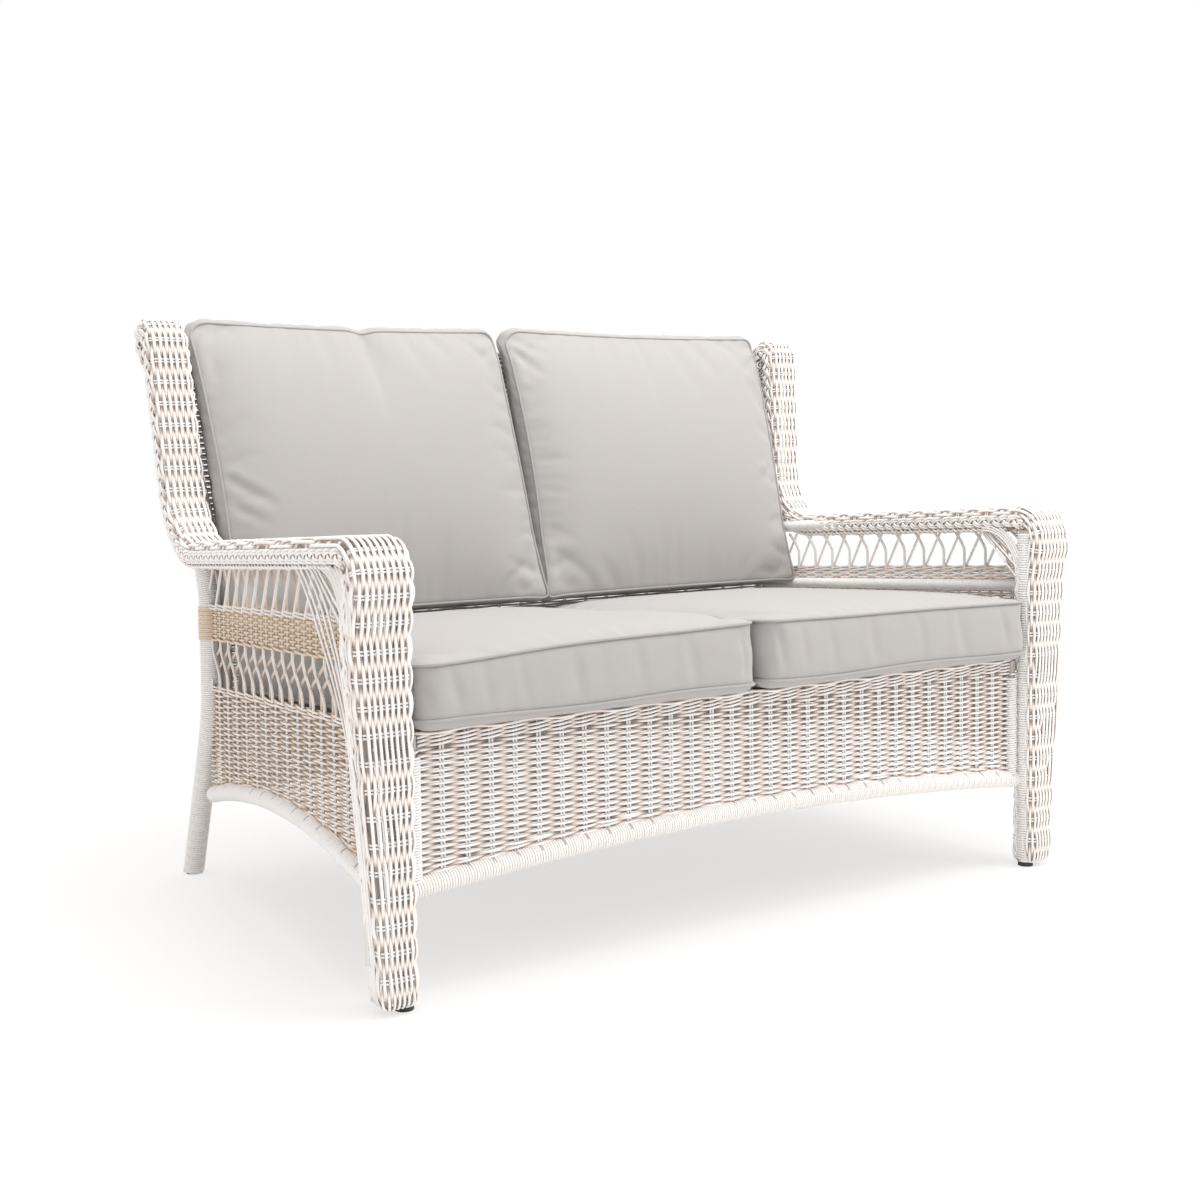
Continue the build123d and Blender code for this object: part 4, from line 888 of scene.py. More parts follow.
def weaveLowerSide(side):
    bundle, spot, raked = Bundle(101 + side), sideSpot(side), rakedSpot(side)
    length, stakes = sideUnit["length"], np.arange(-1, 17) * sideUnit["stake"] + sideUnit["firstStake"]
    probe = np.linspace(0, length, 500)
    base = sideArch(probe) + sideUnit["railRadius"] + probe * rake
    rows = []
    for height in np.arange(sideUnit["lower"] - 5.0, base.min(), -sideUnit["pitch"]):
        clear = probe[base + 6.0 < height]
        if len(clear) < 5:
            continue
        spans = np.split(clear, np.where(np.diff(clear) > 3)[0] + 1)
        rows.append((height, [(float(part[0]), float(part[-1])) for part in spans if len(part) > 8]))
    weaveRows(bundle, raked, rows, stakes, sideUnit["lift"], sideUnit["strand"])
    inner = stakes[(stakes > 4) & (stakes < length - 4)]
    pairedStakes(bundle, spot, inner, lambda run: float(sideArch(run)),
                 lambda run: sideUnit["lower"] - run * rake, steps=8)
    spec, run = sideUnit["railStrands"], np.linspace(2, length - 4, 60)
    for number in range(spec["count"]):
        height = sideArch(run) + sideUnit["railRadius"] + spec["first"] + number * spec["pitch"]
        lifted = spec["swing"] * np.sin(run / sideUnit["stake"] * pi + number * pi)
        layStrand(bundle, spot, run, height, lifted, spec["lift"], spec["radius"])
    twinedRows(bundle, raked, sideUnit["lower"], sideUnit["lowerTwined"])
    bundle.build(sideName(side) + "LowerWeave", "side", replaces=(sideName(side) + "_lower_panel",))


def weaveNarrowBand(side):
    bundle, raked, spec, length = Bundle(131 + side), rakedSpot(side), sideUnit["narrow"], sideUnit["length"]
    stakes = np.arange(-1, 32) * spec["stake"] + spec["firstStake"]
    heights = np.arange(sideUnit["middle"] + spec["from"], sideUnit["upper"] - spec["to"], spec["pitch"])
    rows = [(height, [(2.0, length - 4)]) for height in heights]
    weaveRows(bundle, raked, rows, stakes, spec["lift"], spec["strand"])
    twinedRow(bundle, raked, 2, length - 2, sideUnit["stake"], sideUnit["middle"] + spec["twined"],
              spec["twinedLift"], sideUnit["strand"])
    pairedStakes(bundle, raked, stakes[(stakes > 4) & (stakes < length - 6)], lambda run: sideUnit["middle"],
                 lambda run: sideUnit["upper"], spec["stakeRadius"], spec["stakeGap"], 5)
    loops = sideUnit["loops"]  # ends of the rows, laid round the outside of the rear post
    angle = np.linspace(loops["start"] * pi, loops["end"] * pi, 12)
    outward = columns(side * np.cos(angle), np.sin(angle), 0.0)
    fall = length * rake
    for height in np.arange(sideUnit["upper"] - fall - 2.0, sideUnit["middle"] - fall, -loops["pitch"]):
        for rise in (-loops["pair"], loops["pair"]):
            middle = (side * shell["postX"], shell["postY"], height + rise)
            bundle.add(middle + outward * loops["reach"], loops["radius"], 1.0, outward)
    # the left band is painted tan for the shade it stands in; the right one takes the pale cane colours
    finish = "band" if side < 0 else "cane"  # the photograph shows the right one paler
    bundle.build(sideName(side) + "MiddleWeave", finish, replaces=(sideName(side) + "_middle_band",))


def bendCanes(side):
    bundle, raked, length = Bundle(161 + side), rakedSpot(side), sideUnit["length"]
    twinedRows(bundle, raked, sideUnit["upper"], sideUnit["upperTwined"])
    share = np.linspace(0, 1, 14)

    # depth is the cane's painted shade
    def cane(run, bottom, top, lift, radius, depth):
        keep = (run > 4) & (run < length - 6)
        if keep.sum() > 2:
            bundle.add(raked(run, bottom + (top - bottom) * share, lift)[keep], radius, depth=depth)

    front, behind = canes["shadeFront"], canes["shadeBehind"][side]
    spec = canes["upper"]
    bend = np.clip((share - 0.5) / 0.5, 0, 1) ** 1.4
    bottom, top = sideUnit["upper"] - spec["bottom"], sideUnit["armLine"] - spec["top"]
    for index in range(-1, 17):
        foot = index * spec["pitch"] + spec["first"]
        wobble = bundle.dice.uniform(-spec["wobble"], spec["wobble"])
        forward = foot + spec["apart"] - spec["forward"] * spec["pitch"] * share + wobble * share
        rearward = foot - spec["apart"] + spec["rearward"] * spec["pitch"] * bend + wobble * bend
        cane(forward, bottom, top, spec["lift"], spec["radius"], front)
        cane(rearward, bottom, top, -spec["lift"], spec["radius"], behind)
    spec = canes["lower"]
    curve, late = smooth((share - 0.12) / 0.76), smooth((share - 0.3) / 0.7)
    bottom, top = sideUnit["lower"] - spec["tucked"], sideUnit["middle"] + spec["tucked"]
    for index in range(-2, 18):
        foot = index * spec["pitch"] + spec["first"]
        wobble = bundle.dice.uniform(-spec["wobble"], spec["wobble"]) * share
        single = foot + spec["lean"] * spec["pitch"] * curve + wobble
        cane(single, bottom, top, spec["lift"], spec["radius"], front)
        for twin in (-spec["twinApart"], spec["twinApart"]):
            run = foot + spec["pitch"] * 0.5 + twin - spec["twinLean"] * spec["pitch"] * late + wobble
            cane(run, bottom, top, spec["twinLift"], spec["twinRadius"], behind)
    prefix = sideName(side)
    bundle.build(prefix + "Openwork", "cane", replaces=(prefix + "_upper_lattice", prefix + "_lower_lattice"))


def wrapSidePoles(side):
    bundle, prefix = Bundle(191 + side), sideName(side)
    run = np.linspace(0, sideUnit["length"], 200)
    rail = sideSpot(side)(run, sideArch(run), 0.0)
    wrapPole(bundle, rail, sideUnit["railRadius"], reference=(1, 0, 0), notches=sideUnit["notches"])
    spec = sidePoles
    corners = [spec["rearFoot"], (shell["postX"], shell["postY"], spec["rearKneeZ"]),
               (shell["postX"], shell["postY"], shell["hipZ"]), (*postSpot(shell["postTopZ"]), shell["postTopZ"])]
    rear = bentLine([(side * x, y, z) for x, y, z in corners], spec["bend"])
    wrapPole(bundle, rear, shell["postRadius"], spec["rearPitch"], spec["rearStrand"], 0.5, reference=(1, 0, 0))
    shoe = [rear[0] + (0, y, z) for y, z, _ in spec["shoe"]]
    bundle.add(shoe, [radius for *_, radius in spec["shoe"]], depth=0.1)
    wrapPole(bundle, [(side * spec["frontX"], spec["frontY"], z) for z in spec["frontZ"]], spec["frontRadius"])
    for rail, radius in spec["rails"].items():
        low, high = (np.array(corner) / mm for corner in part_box(prefix + rail))
        outer, inner = (low[0], high[0]) if side < 0 else (high[0], low[0])
        line = [(outer - side * radius, low[1], high[2] - radius),
                (inner + side * radius, high[1] - 2, low[2] + radius)]
        wrapPole(bundle, line, radius, points=12, reference=(1, 0, 0))
    bundle.build(prefix + "PoleWraps", "wrap", "wrapped_resin")


def weaveWeb(side):  # wall between the wing and the rear post
    bundle = Bundle(221 + side)

    def webSpot(share, z, lift):
        frontY = wingFront(z) + web["behind"]
        rearX, rearY = postSpot(z)
        return columns(side * (rearX + lift), frontY + share * (rearY - frontY), z)

    stations = np.linspace(0, 1, 12)
    for number, z in enumerate(np.arange(web["from"], web["to"], web["pitch"])):
        lifted = web["lift"] * np.cos(stations * 3 * pi + number * pi)
        layStrand(bundle, webSpot, stations, z, lifted, web["lift"], web["strand"])
    bundle.build(sideName(side) + "WebWeave", replaces=(sideName(side) + "_wing_web",))


for side in (-1, 1):
    for make in (weaveLowerSide, weaveNarrowBand, bendCanes, wrapSidePoles, weaveWeb):
        make(side)
print("sides woven")


# back, its rolled top and its rail; a mark is a place up the bent back
backUnit = {"halfLow": 592.0, "halfTop": 642.0, "low": 160.0, "mid": 190.0, "railReach": 619.0,
            "railHalf": 602.0, "railRadius": 13.0, "bend": 260.0, "from": 12.0, "short": 30.0,
            "stakes": 14, "stake": 49.5, "stakeRadius": 1.8, "stakeGap": 2.4, "stakePast": 25.0,
            "pitch": 5.0, "lift": 2.9, "strand": 2.35, "nearArch": 17.0}
backRoll = {"radius": 29.0, "half": 636.0, "count": 38, "strand": 2.5, "lift": 2.0}
deck = {"half": 584.0, "frontY": -382.5, "frontZ": 365.6, "from": -20.0, "length": 684.0, "pitch": 6.4,
        "strand": 2.5, "lift": 1.4, "stakeY": (-402.0, 300.0), "stakeZ": 366.5, "stakeRadius": 1.6}
backStakes = np.arange(-backUnit["stakes"], backUnit["stakes"] + 1) * backUnit["stake"]
backCorners = [(shell["postY"], backUnit["low"]), (shell["postY"], shell["hipZ"]), (shell["rollY"], shell["rollZ"])]
backMarks, backPath = along(bentLine(backCorners, backUnit["bend"]), 4.0)
backHeading = unit(np.gradient(backPath, axis=0))


def backSpot(x, mark, lift):
    tables = (backPath, backHeading)
    y, z, headY, headZ = (np.interp(mark, backMarks, table[:, axis]) for table in tables for axis in (0, 1))
    return columns(x, y + lift * headZ, z - lift * headY)


def backHeight(mark):
    return np.interp(mark, backMarks, backPath[:, 1])


def backHalf(mark):  # the back widens above the hip
    rise = np.maximum(0, backHeight(mark) - shell["hipZ"]) / (shell["rollZ"] - shell["hipZ"])
    return backUnit["halfLow"] + rise * (backUnit["halfTop"] - backUnit["halfLow"])


def backArch(x):
    return archHeight(x, backUnit["low"], backUnit["mid"], backUnit["railReach"])


def weaveBack():
    end, lift, strand = backMarks[-1] - backUnit["short"], backUnit["lift"], backUnit["strand"]
    bundles = [Bundle(301), Bundle(302)]  # two pieces, so that each stays small
    for number, mark in enumerate(np.arange(backUnit["from"], end, backUnit["pitch"])):
        half = float(backHalf(mark)) - 8
        row = (mark, besideArch(half, lambda x: backArch(x) + backUnit["nearArch"], backHeight(mark), 200))
        rows = [row] if number % 2 == 0 else [(mark, []), row]  # an odd row starts behind its stake
        weaveRows(bundles[0 if mark < end / 2 else 1], backSpot, rows, backStakes, lift, strand, steps=3)
    for stake in backStakes:
        low = max(float(backArch(stake)) - backUnit["low"], 0)
        for bundle, start, stop in ((bundles[0], low, end / 2), (bundles[1], end / 2, end + backUnit["stakePast"])):
            marks = np.linspace(start, stop, 16)
            for gap in (-backUnit["stakeGap"], backUnit["stakeGap"]):
                if np.all(abs(stake + gap) < backHalf(marks) - 4):
                    bundle.add(backSpot(stake + gap, marks, 0.0), backUnit["stakeRadius"], depth=0.12)
    bundles[0].build("backWeaveLow", replaces=("back_panel",))
    bundles[1].build("backWeaveHigh")


def weaveRoll():
    bundle, lift = Bundle(303), backRoll["lift"]
    x = stationsAlong(-backRoll["half"], backRoll["half"], backStakes, 3)
    for number in range(backRoll["count"]):
        angle = number / backRoll["count"] * 2 * pi
        outward = np.array([0.0, cos(angle), sin(angle)])
        lifted = easedLift(x, backStakes, overUnder(backStakes, lift, number))
        points = columns(x, shell["rollY"], shell["rollZ"]) + (backRoll["radius"] + lifted)[:, None] * outward
        bundle.add(points, backRoll["strand"], lifted / lift, outward)
    bundle.build("backRollWeave", replaces=("back_roll",))


def wrapBackRail():
    bundle = Bundle(304)
    x = np.linspace(-backUnit["railHalf"], backUnit["railHalf"], 240)
    rail = columns(x, shell["postY"], backArch(x))
    wrapPole(bundle, rail, backUnit["railRadius"], points=12, notches=(0.0, backUnit["stake"]))
    bundle.build("backRailWrap", "wrap", "wrapped_resin")


def deckSpot(x, run, lift):
    return columns(x, deck["frontY"] + run * cos(rakeAngle), deck["frontZ"] - run * sin(rakeAngle) + lift)


def weaveDeck():
    bundle, lift = Bundle(305), deck["lift"]
    x = stationsAlong(-deck["half"], deck["half"], backStakes, 3)
    for number, run in enumerate(np.arange(deck["from"], deck["length"], deck["pitch"])):
        lifted = easedLift(x, backStakes, overUnder(backStakes, lift, number))
        layStrand(bundle, deckSpot, x, run, lifted, lift, deck["strand"])
    front, rear = deck["stakeY"]
    for stake in backStakes[np.abs(backStakes) < deck["half"] - 4]:
        ends = [(stake, front, deck["stakeZ"]), (stake, rear, deck["stakeZ"] - (rear - front) * rake)]
        bundle.add(ends, deck["stakeRadius"])
    bundle.build("deckWeave", replaces=("seat_deck",))


weaveBack()
weaveRoll()
wrapBackRail()
weaveDeck()
print("back and deck woven")

# finishes of the CAD pieces that stay in view; the rest are painted tubes
finishOf = {"front_post": "poleCore", "rear_post": "poleCore", "side_rail": "poleCore", "skirt_rail": "poleCore",
            "skirt_post": "poleCore", "back_rail": "poleCore", "foot_glides": "glide", "assembly_bolts": "zinc",
            "insert_nuts": "zinc", "seat_core": "foam", "back_core": "foam"}
for nodeName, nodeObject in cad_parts.items():
    kind = nodeName if nodeName.startswith("seat_") else nodeName.replace("left_", "").replace("right_", "")
    nodeObject.data.materials.clear()
    nodeObject.data.materials.append(finishes[finishOf.get(kind, "tube")])


# cushions: each cover is two panels and a strip between them, sewn along two piped seams, then filled with air
# u and v run from -1 to 1 across a panel, and w from 0 on the panel that is seen to 1 on the other
cover = {"columns": 50, "rows": 56, "strips": 7, "ringPoints": 70, "seamStep": 5.0}
filling = {"frames": 20, "pressure": 4.0, "quality": 4, "mass": 0.25, "stretch": 12.0, "shear": 4.0, "bend": 0.35,
           "shrink": -0.02, "farPanel": 1.2, "strip": 4.0}  # the last two cap how far those parts swell
seatCushion = {
    "middleX": 296.0, "half": 293.0, "frontY": -443.6, "rearY": 289.6, "deckZ": 369.6, "low": 13.0, "high": 104.0,
    "corner": 34.0, "looseCorner": 16.0, "drawnIn": 4.5, "turnUnder": 30.0, "crown": 9.0, "swell": 12.0,
    "droop": {-1: 14.0, 1: 4.0}, "droopReach": 190.0,  # the outer front corner hangs a little
    "rise": 3.0, "riseReach": 120.0, "wave": 1.8, "waveLength": 62.0, "piping": (2.3, 3.1), "fill": 0.75,
    "foldReach": 30.0, "foldTop": 1.1,  # folds of the front strip: place, depth and width
    "folds": ((-0.86, 4.2, 8), (-0.7, 2.6, 6), (-0.5, 2.6, 8), (-0.2, 3.2, 10), (0.17, 2.2, 7), (0.48, 3.4, 10),
              (0.83, 4.0, 8)),
}
backCushion = {
    "half": 299.0, "low": 470.0, "high": {-1: 977.0, 1: 982.0},
    "edges": {-1: ((-600, -625), (-3, -20)), 1: ((3, 6), (600, 627))},  # X of both sides, at the bottom and the top
    "corner": 22.0, "looseCorner": 16.0, "tightCorner": 6.0, "drawnIn": 6.0, "gusset": 7.0, "gussetTop": 9.0,
    "gussetLow": 11.0, "ear": 6.0, "earReach": 22.0, "behind": 9.0, "setBack": 0.27, "setBackLow": 0.14,
    "rearSeam": 0.88, "swell": 20.0, "fill": 0.7, "piping": (2.2, 2.2),
    "pinch": {"x": -295.0, "wide": 20.0, "from": 860.0, "over": 100.0, "down": 6.0, "back": 5.0},
    # Y and Z up the front and the rear
    "front": ((186, 474), (190, 500), (200, 550), (212, 600), (225, 650), (240, 700), (257, 750), (276, 800),
              (297, 850), (320, 900), (336, 932), (352, 962)),
    "rear": ((302, 474), (303, 500), (310, 550), (321, 600), (331, 650), (342, 700), (353, 750), (364, 800),
             (375, 850), (385, 900), (393, 925), (410, 950), (427, 968)),
    # folds of the front panel: X and Z of the deep end and of the end that runs out, depth and width
    "folds": {-1: (((-592, 700), (-520, 655), 4.2, 8.0), ((-588, 655), (-535, 622), 3.0, 7.0),
                   ((-295, 960), (-306, 905), 4.0, 7.0), ((-30, 940), (-92, 912), 2.6, 8.0),
                   ((-30, 520), (-90, 545), 2.6, 8.0), ((-600, 520), (-545, 548), 3.0, 8.0)),
              1: (((18, 940), (70, 888), 4.5, 8.0), ((24, 958), (96, 932), 3.0, 7.0),
                  ((612, 935), (552, 898), 3.0, 8.0), ((590, 520), (530, 548), 3.0, 8.0),
                  ((10, 520), (62, 545), 2.8, 8.0), ((575, 700), (530, 668), 2.6, 8.0))},
}


def meshFrom(bm, name):
    bmesh.ops.recalc_face_normals(bm, faces=bm.faces)
    mesh = bpy.data.meshes.new(name)
    bm.to_mesh(mesh)
    bm.free()
    return mesh


def writeSpots(mesh, spots):
    mesh.vertices.foreach_set("co", spots.astype(np.float32).ravel())
    mesh.update()


def coverMesh(name):  # until it is shaped, a point's coordinates say where it is on the cover
    bm = bmesh.new()
    size = {"x_segments": cover["columns"], "y_segments": cover["rows"], "size": 1.0}
    bmesh.ops.create_grid(bm, **size)
    rim = [edge for edge in bm.edges if edge.is_boundary]
    for _ in range(cover["strips"]):
        made = bmesh.ops.extrude_edge_only(bm, edges=rim)["geom"]
        moved = [part for part in made if isinstance(part, bmesh.types.BMVert)]
        bmesh.ops.translate(bm, verts=moved, vec=(0, 0, -1.0 / cover["strips"]))
        rim = [part for part in made if isinstance(part, bmesh.types.BMEdge) and part.is_boundary]
    bmesh.ops.create_grid(bm, matrix=Matrix.Translation((0, 0, -1)), **size)
    bmesh.ops.remove_doubles(bm, verts=bm.verts, dist=0.0001)
    bmesh.ops.recalc_face_normals(bm, faces=bm.faces)
    bm.verts.index_update()
    spots, loops = [vert.co[:] for vert in bm.verts], [[vert.index for vert in face.verts] for face in bm.faces]
    bm.free()
    firsts = [loop.index(min(loop)) for loop in loops]  # one order on every run, so that the cloth fills the same way
    mesh = bpy.data.meshes.new(name)
    mesh.from_pydata(spots, [], sorted(loop[first:] + loop[:first] for loop, first in zip(loops, firsts)))
    return mesh


def roundedPlan(u, v, halfU, halfV, radius):  # a square with its corners drawn round
    x, y = np.abs(u) * halfU, np.abs(v) * halfV
    a, b = np.clip((x - halfU + radius) / radius, 0, 1), np.clip((y - halfV + radius) / radius, 0, 1)
    x = np.minimum(x, halfU - radius) + radius * a * np.sqrt(1 - b * b / 2)
    y = np.minimum(y, halfV - radius) + radius * b * np.sqrt(1 - a * a / 2)
    return np.sign(u) * x, np.sign(v) * y


def bulge(u, v, power=3.0):
    return (np.clip(1 - np.abs(u) ** power, 0, 1) * np.clip(1 - np.abs(v) ** power, 0, 1)) ** 0.55


def bell(away, reach):
    return np.exp(-(away / reach) ** 2)


def seatSpots(side, u, v, w):
    spec = seatCushion
    halfX, halfY = spec["half"], (spec["rearY"] - spec["frontY"]) / cos(rakeAngle) / 2
    corner = spec["corner"] + spec["looseCorner"] * ((u > 0) & (v < 0) & (side < 0))
    x, y = roundedPlan(u, v, halfX, halfY, corner)
    x, y = x * (1 - spec["drawnIn"] / halfX * (1 - v ** 2)), y * (1 - spec["drawnIn"] / halfY * (1 - u ** 2))
    onTop, under = w < 0.001, w > 0.999
    fromRim = np.minimum((1 - np.abs(u)) * halfX, (1 - np.abs(v)) * halfY)
    turned = 1 - np.clip(fromRim / spec["turnUnder"], 0, 1)
    z = spec["high"] + (spec["low"] - spec["high"]) * w
    z = np.where(onTop, spec["high"] + spec["crown"] * bulge(u, v), z)
    z = np.where(under, spec["low"] * (1 - np.sqrt(1 - turned ** 2)), z)
    droop = spec["droop"][side] * bell(np.hypot(x - side * halfX, (y + halfY) * 0.8), spec["droopReach"])
    rise = spec["rise"] * bell((u + side) * halfX, spec["riseReach"]) * (v < -0.2)
    z = z + (rise - droop) * (1 - w)
    wave = spec["wave"] * w * np.sin((x + side * 60.0) / spec["waveLength"]) * (v < -0.9)
    z = z + np.where(under & (turned > 0.99) | ~(onTop | under), wave, 0.0)
    lean = np.array(Matrix.Rotation(-rakeAngle, 3, "X").transposed())
    middleY = (spec["frontY"] + spec["rearY"]) / 2
    lift = spec["deckZ"] - (middleY - deck["frontY"]) * rake
    return columns(x, y, z) @ lean + (side * spec["middleX"], middleY, lift)


def backSpots(side, u, v, w):  # u across and v up
    spec = backCushion
    half, low, tall = spec["half"], spec["low"], (spec["high"][side] - spec["low"]) / 2
    corner = spec["corner"] + spec["looseCorner"] * ((u < 0) & (v > 0)) - spec["tightCorner"] * (v < 0)
    across, up = roundedPlan(u, v, half, tall, corner)
    across = across * (1 - spec["drawnIn"] / half * (1 - v ** 2))
    up = up * (1 - spec["drawnIn"] / tall * (1 - u ** 2) * np.where(v > 0, 1.0, 0.3))
    ears = spec["ear"] * bell((1 - np.abs(u)) * half, spec["earReach"]) * bell((1 + v) * tall, spec["earReach"])
    across, up = across + np.sign(u) * ears, up - ears * 0.6
    share = (up + tall) / (2 * tall)
    leftX, rightX = (bottom + (top - bottom) * share for bottom, top in spec["edges"][side])
    x = (leftX + rightX) / 2 + across / half * (rightX - leftX) / 2
    z = low + share * 2 * tall
    front, rear = np.array(spec["front"], float), np.array(spec["rear"], float)
    frontY = np.interp(z, front[:, 1], front[:, 0]) + spec["behind"]
    thick = np.interp(z, rear[:, 1], rear[:, 0]) - 1.0 - frontY
    onFront, behind = w < 0.001, w > 0.999
    flat = 1 - bulge(u, v, 2.6)
    setBack = spec["setBack"] + (spec["setBackLow"] - spec["setBack"]) * smooth((-v - 0.5) / 0.5)
    y = frontY + thick * (setBack + (spec["rearSeam"] - setBack) * w)
    y = np.where(onFront, frontY + thick * setBack * flat, y)
    y = np.where(behind, frontY + thick * (1 - (1 - spec["rearSeam"]) * flat), y)
    strip = np.where(onFront | behind, 0.0, np.sin(pi * w))
    x = x + strip * spec["gusset"] * np.sign(u) * (np.abs(u) > 0.999)
    z = z + strip * np.where(v > 0, spec["gussetTop"], -spec["gussetLow"]) * (np.abs(v) > 0.999)
    if side < 0:  # the pinch in the top seam
        pinch = spec["pinch"]
        share = bell(x - pinch["x"], pinch["wide"]) * smooth((z - pinch["from"]) / pinch["over"])
        z, y = z - pinch["down"] * share, y + pinch["back"] * share * (w < 0.5)
    return columns(x, y, z)


def creaseSeat(side, u, v, w, spots):  # soft folds in the front strip and in the top behind the front seam
    spec = seatCushion
    onStrip, onTop = (v < -0.97) & (w > 0.02) & (w < 0.98), (w < 0.02) & (v > -0.995)
    fromFront = bell((v + 1) * (spec["rearY"] - spec["frontY"]) / 2, spec["foldReach"])
    for place, deep, wide in spec["folds"]:
        strip = bell((u + side * 0.05 - place - 0.05 * (w - 0.5)) * spec["half"], wide)
        strip = strip * np.sin(pi * np.clip(w, 0, 1))
        ripple = bell((u + side * 0.04 - place) * spec["half"], wide * 1.6) * fromFront
        spots[:, 1] += np.where(onStrip, deep * strip, 0.0)
        spots[:, 2] -= np.where(onTop, spec["foldTop"] * ripple, 0.0)
    return spots


def creaseBack(side, u, v, w, spots):
    x, z = spots[:, 0], spots[:, 2]
    inside = smooth((1 - np.maximum(np.abs(u), np.abs(v))) / 0.05)
    for start, end, deep, wide in backCushion["folds"][side]:
        start, end = np.array(start, float), np.array(end, float)
        run = end - start
        share = np.clip(((x - start[0]) * run[0] + (z - start[1]) * run[1]) / (run @ run), 0, 1)
        away = np.hypot(x - start[0] - share * run[0], z - start[1] - share * run[1])
        fold = bell(away, wide) * (1 - share) ** 0.6 - 0.5 * bell(away - 2 * wide, wide) * (1 - share)
        spots[:, 1] += np.where(w < 0.02, deep * fold * inside, 0.0)
    return spots


labels = ("across", "along", "layer")  # u, v and w kept with the mesh
kinds = {"Seat": {"spec": seatCushion, "spots": seatSpots, "crease": creaseSeat, "outward": (0.0, 0.0, 1.0)},
         "Back": {"spec": backCushion, "spots": backSpots, "crease": creaseBack, "outward": (0.0, -0.93, 0.3)}}
pads = {}
for side in (-1, 1):
    for kind, way in kinds.items():
        name = sideName(side) + kind
        mesh = coverMesh(name + "Cover")
        u, v, w = readSpots(mesh).T * np.array([[1], [1], [-1]])
        for label, values in zip(labels, (u, v, w)):
            writeValues(mesh, label, values)
        spots = way["spots"](side, u, v, w)
        writeSpots(mesh, spots * mm)
        pad = linked(name + "Cover", mesh)
        rim = (np.maximum(np.abs(u), np.abs(v)) > 0.999) & ((w < 0.001) | (w > 0.999))
        pad.vertex_groups.new(name="seams").add([int(n) for n in np.where(rim)[0]], 1.0, "REPLACE")
        pads[name] = {"pad": pad, "side": side, "way": way, "u": u, "v": v, "w": w, "spots": spots}


def swellCovers():  # air pressure inside the sewn covers
    scene = bpy.context.scene
    for made in pads.values():
        cloth = made["pad"].modifiers.new("filled", "CLOTH")
        settings = cloth.settings
        settings.quality, settings.mass, settings.vertex_group_mass = filling["quality"], filling["mass"], "seams"
        settings.tension_stiffness = settings.compression_stiffness = filling["stretch"]
        settings.shear_stiffness, settings.bending_stiffness = filling["shear"], filling["bend"]
        settings.use_pressure, settings.uniform_pressure_force = True, filling["pressure"]
        settings.shrink_min, settings.effector_weights.gravity = filling["shrink"], 0.0
        cloth.collision_settings.use_collision = cloth.collision_settings.use_self_collision = False
        cloth.point_cache.frame_start, cloth.point_cache.frame_end = 1, filling["frames"]
    for number in range(1, filling["frames"] + 1):
        scene.frame_set(number)
    graph = bpy.context.evaluated_depsgraph_get()
    for made in pads.values():
        made["swollen"] = readSpots(made["pad"].evaluated_get(graph).data) / mm
    scene.frame_set(1)
    for made in pads.values():
        made["pad"].modifiers.clear()


def finishCover(name, made):
    side, way, pad = made["side"], made["way"], made["pad"]
    spec, onFace = way["spec"], made["w"] < 0.001
    if "swollen" in made:
        limit = np.where(onFace, spec["swell"], np.where(made["w"] > 0.999, filling["farPanel"], filling["strip"]))
        moved = made["swollen"] - made["spots"]
        far = np.linalg.norm(moved, axis=1) + 1e-9
        moved = moved / far[:, None] * (limit * np.tanh(far / limit))[:, None]
    else:
        moved = (bulge(made["u"], made["v"], 2.4) * onFace * spec["swell"])[:, None] * np.array(way["outward"])
    writeSpots(pad.data, (made["spots"] + moved) * mm)
    finer = pad.modifiers.new("round", "SUBSURF")
    finer.levels = finer.render_levels = 1
    mesh = evaluatedMesh(pad)
    u, v, w = (np.array([item.value for item in mesh.attributes[label].data]) for label in labels)
    writeSpots(mesh, way["crease"](side, u, v, w, readSpots(mesh) / mm) * mm)
    body = name.replace("Seat", "_seat").replace("Back", "_back")
    piece = dress(mesh, name + "Pad", "cloth", body, (body + "_cushion", body + "_core"))
    return body


def pipeSeams(name, made, body):
    curve = tubeCurve(name + "Piping", 2)
    turn = np.linspace(-1, 1, cover["ringPoints"], endpoint=False)
    ring = np.concatenate([columns(turn, -1.0), columns(1.0, turn), columns(-turn, 1.0), columns(-1.0, -turn)])
    for layer, radius in zip((0.0, 1.0), made["way"]["spec"]["piping"]):
        spots = made["way"]["spots"](made["side"], ring[:, 0], ring[:, 1], np.full(len(ring), layer))
        _, spots = along(np.vstack([spots, spots[:1]]), cover["seamStep"])
        addSpline(curve, spots[:-1], radius).use_cyclic_u = True
    mesh = evaluatedMesh(linked(name + "PipingPath", curve))
    dress(mesh, name + "Piping", "piping", body)


swellCovers()
print("cushions filled")
for name, made in pads.items():
    pipeSeams(name, made, finishCover(name, made))
print("cushions sewn")


# floor, air and lamps: the floor turns white away from the loveseat, and the air is white only where it is seen
stage = {"floorHalf": 14.0, "floorShade": (0.90, 0.895, 0.89, 1), "whiteFrom": 0.55, "whiteTo": 1.75,
         "nearWhite": 0.62, "airShade": (1.0, 0.975, 0.96, 1), "airStrength": 0.81, "white": (1, 1, 1, 1)}
lamps = {"key": {"at": (3.0, -2.7, 3.4), "size": 2.4, "power": 86.0, "tint": (1.0, 0.985, 0.965)},
         "top": {"at": (0.1, -0.5, 4.2), "size": 3.2, "power": 134.0, "tint": (1.0, 0.99, 0.975)}}
# the photograph's camera: angles in radians, its place in metres, and the lens in the photograph's pixels
view = {"yaw": 0.5728, "pitch": 0.0557, "roll": -0.0116, "at": (-1.4586, -2.2277, 0.7487), "pixels": 1200,
        "focal": 1507.74, "centre": (597.89, 532.01), "sensor": 36.0, "near": 0.05, "far": 60.0}


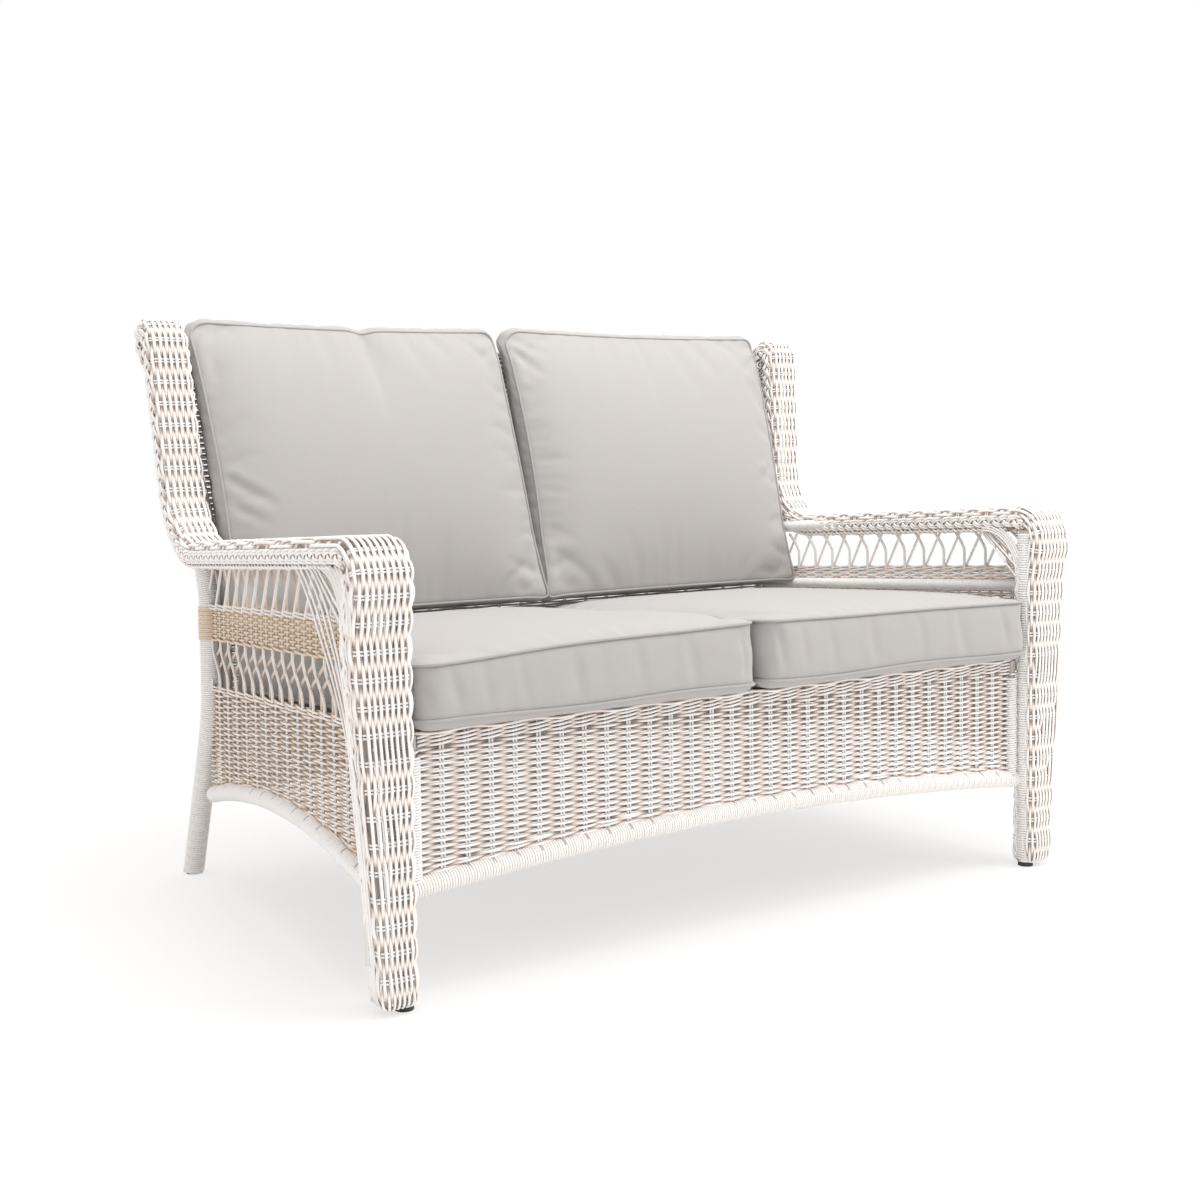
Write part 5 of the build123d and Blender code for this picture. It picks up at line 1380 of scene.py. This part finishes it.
def setFloor():
    ground = Finish.named("paleFloor")
    apart = ground.node("ShaderNodeVectorMath", {"operation": "LENGTH"}, {0: ground.place()}, "Value")
    limits = {0: apart, 1: stage["whiteFrom"], 2: stage["whiteTo"], 3: stage["nearWhite"], 4: 1.0}
    white = ground.node("ShaderNodeMapRange", {"interpolation_type": "SMOOTHSTEP"}, limits)
    seen = ground.node("ShaderNodeLightPath", None, None, "Is Camera Ray")
    matte = ground.node("ShaderNodeBsdfDiffuse", None, {"Color": stage["floorShade"]})
    glow = ground.node("ShaderNodeEmission", None, {"Color": stage["white"], "Strength": 1.0})
    mixed = ground.node("ShaderNodeMixShader", None, {0: seen * white, 1: matte, 2: glow})
    ground.node("ShaderNodeOutputMaterial", None, {"Surface": mixed})
    bm = bmesh.new()
    bmesh.ops.create_grid(bm, x_segments=1, y_segments=1, size=stage["floorHalf"])
    floor = linked("floor", meshFrom(bm, "floor"))
    floor.data.materials.append(ground.material)


def setAir():
    world = bpy.data.worlds.new("studio")
    bpy.context.scene.world = world
    world.use_nodes = True
    air = Finish(world.node_tree)
    rays = ("Is Camera Ray", "Is Glossy Ray", "Is Transmission Ray")
    eye, glossy, clear = (air.node("ShaderNodeLightPath", None, None, ray) for ray in rays)
    share = eye.maths("MAXIMUM", eye, glossy.maths("MAXIMUM", glossy, clear))
    lit = air.node("ShaderNodeBackground", None, {"Color": stage["airShade"], "Strength": stage["airStrength"]})
    white = air.node("ShaderNodeBackground", None, {"Color": stage["white"], "Strength": 1.0})
    mixed = air.node("ShaderNodeMixShader", None, {0: share, 1: lit, 2: white})
    air.node("ShaderNodeOutputWorld", None, {"Surface": mixed})


def setLamps():
    for name, lamp in lamps.items():
        light = bpy.data.lights.new(name, "AREA")
        light.energy, light.size, light.color = lamp["power"], lamp["size"], lamp["tint"]
        holder = linked(name, light)
        holder.location = lamp["at"]
        holder.rotation_euler = (Vector((0, 0, 0.5)) - Vector(lamp["at"])).to_track_quat("-Z", "Y").to_euler()


def setCamera():
    yaw, pitch, roll = view["yaw"], view["pitch"], view["roll"]
    ahead = Vector((sin(yaw) * cos(pitch), cos(yaw) * cos(pitch), -sin(pitch)))
    right = Vector((cos(yaw), -sin(yaw), 0))
    up = right.cross(ahead)
    right, up = right * cos(roll) + up * sin(roll), up * cos(roll) - right * sin(roll)
    camera = bpy.data.cameras.new("photoView")
    size, (centreX, centreY) = view["pixels"], view["centre"]
    camera.sensor_width, camera.lens = view["sensor"], view["focal"] / size * view["sensor"]
    camera.shift_x, camera.shift_y = (size / 2 - centreX) / size, (centreY - size / 2) / size
    camera.clip_start, camera.clip_end = view["near"], view["far"]
    holder = linked("photoView", camera)
    rows = [(right[n], up[n], -ahead[n], view["at"][n]) for n in range(3)]
    holder.matrix_world = Matrix((*rows, (0, 0, 0, 1)))
    bpy.context.scene.camera = holder


for setUp in (setFloor, setAir, setLamps, setCamera):
    setUp()
bpy.context.scene.view_settings.view_transform = "Standard"
shown = [piece for piece in bpy.data.objects if piece.type == "MESH" and not piece.hide_render]
print("stage set,", sum(len(piece.data.polygons) for piece in shown), "faces in all")
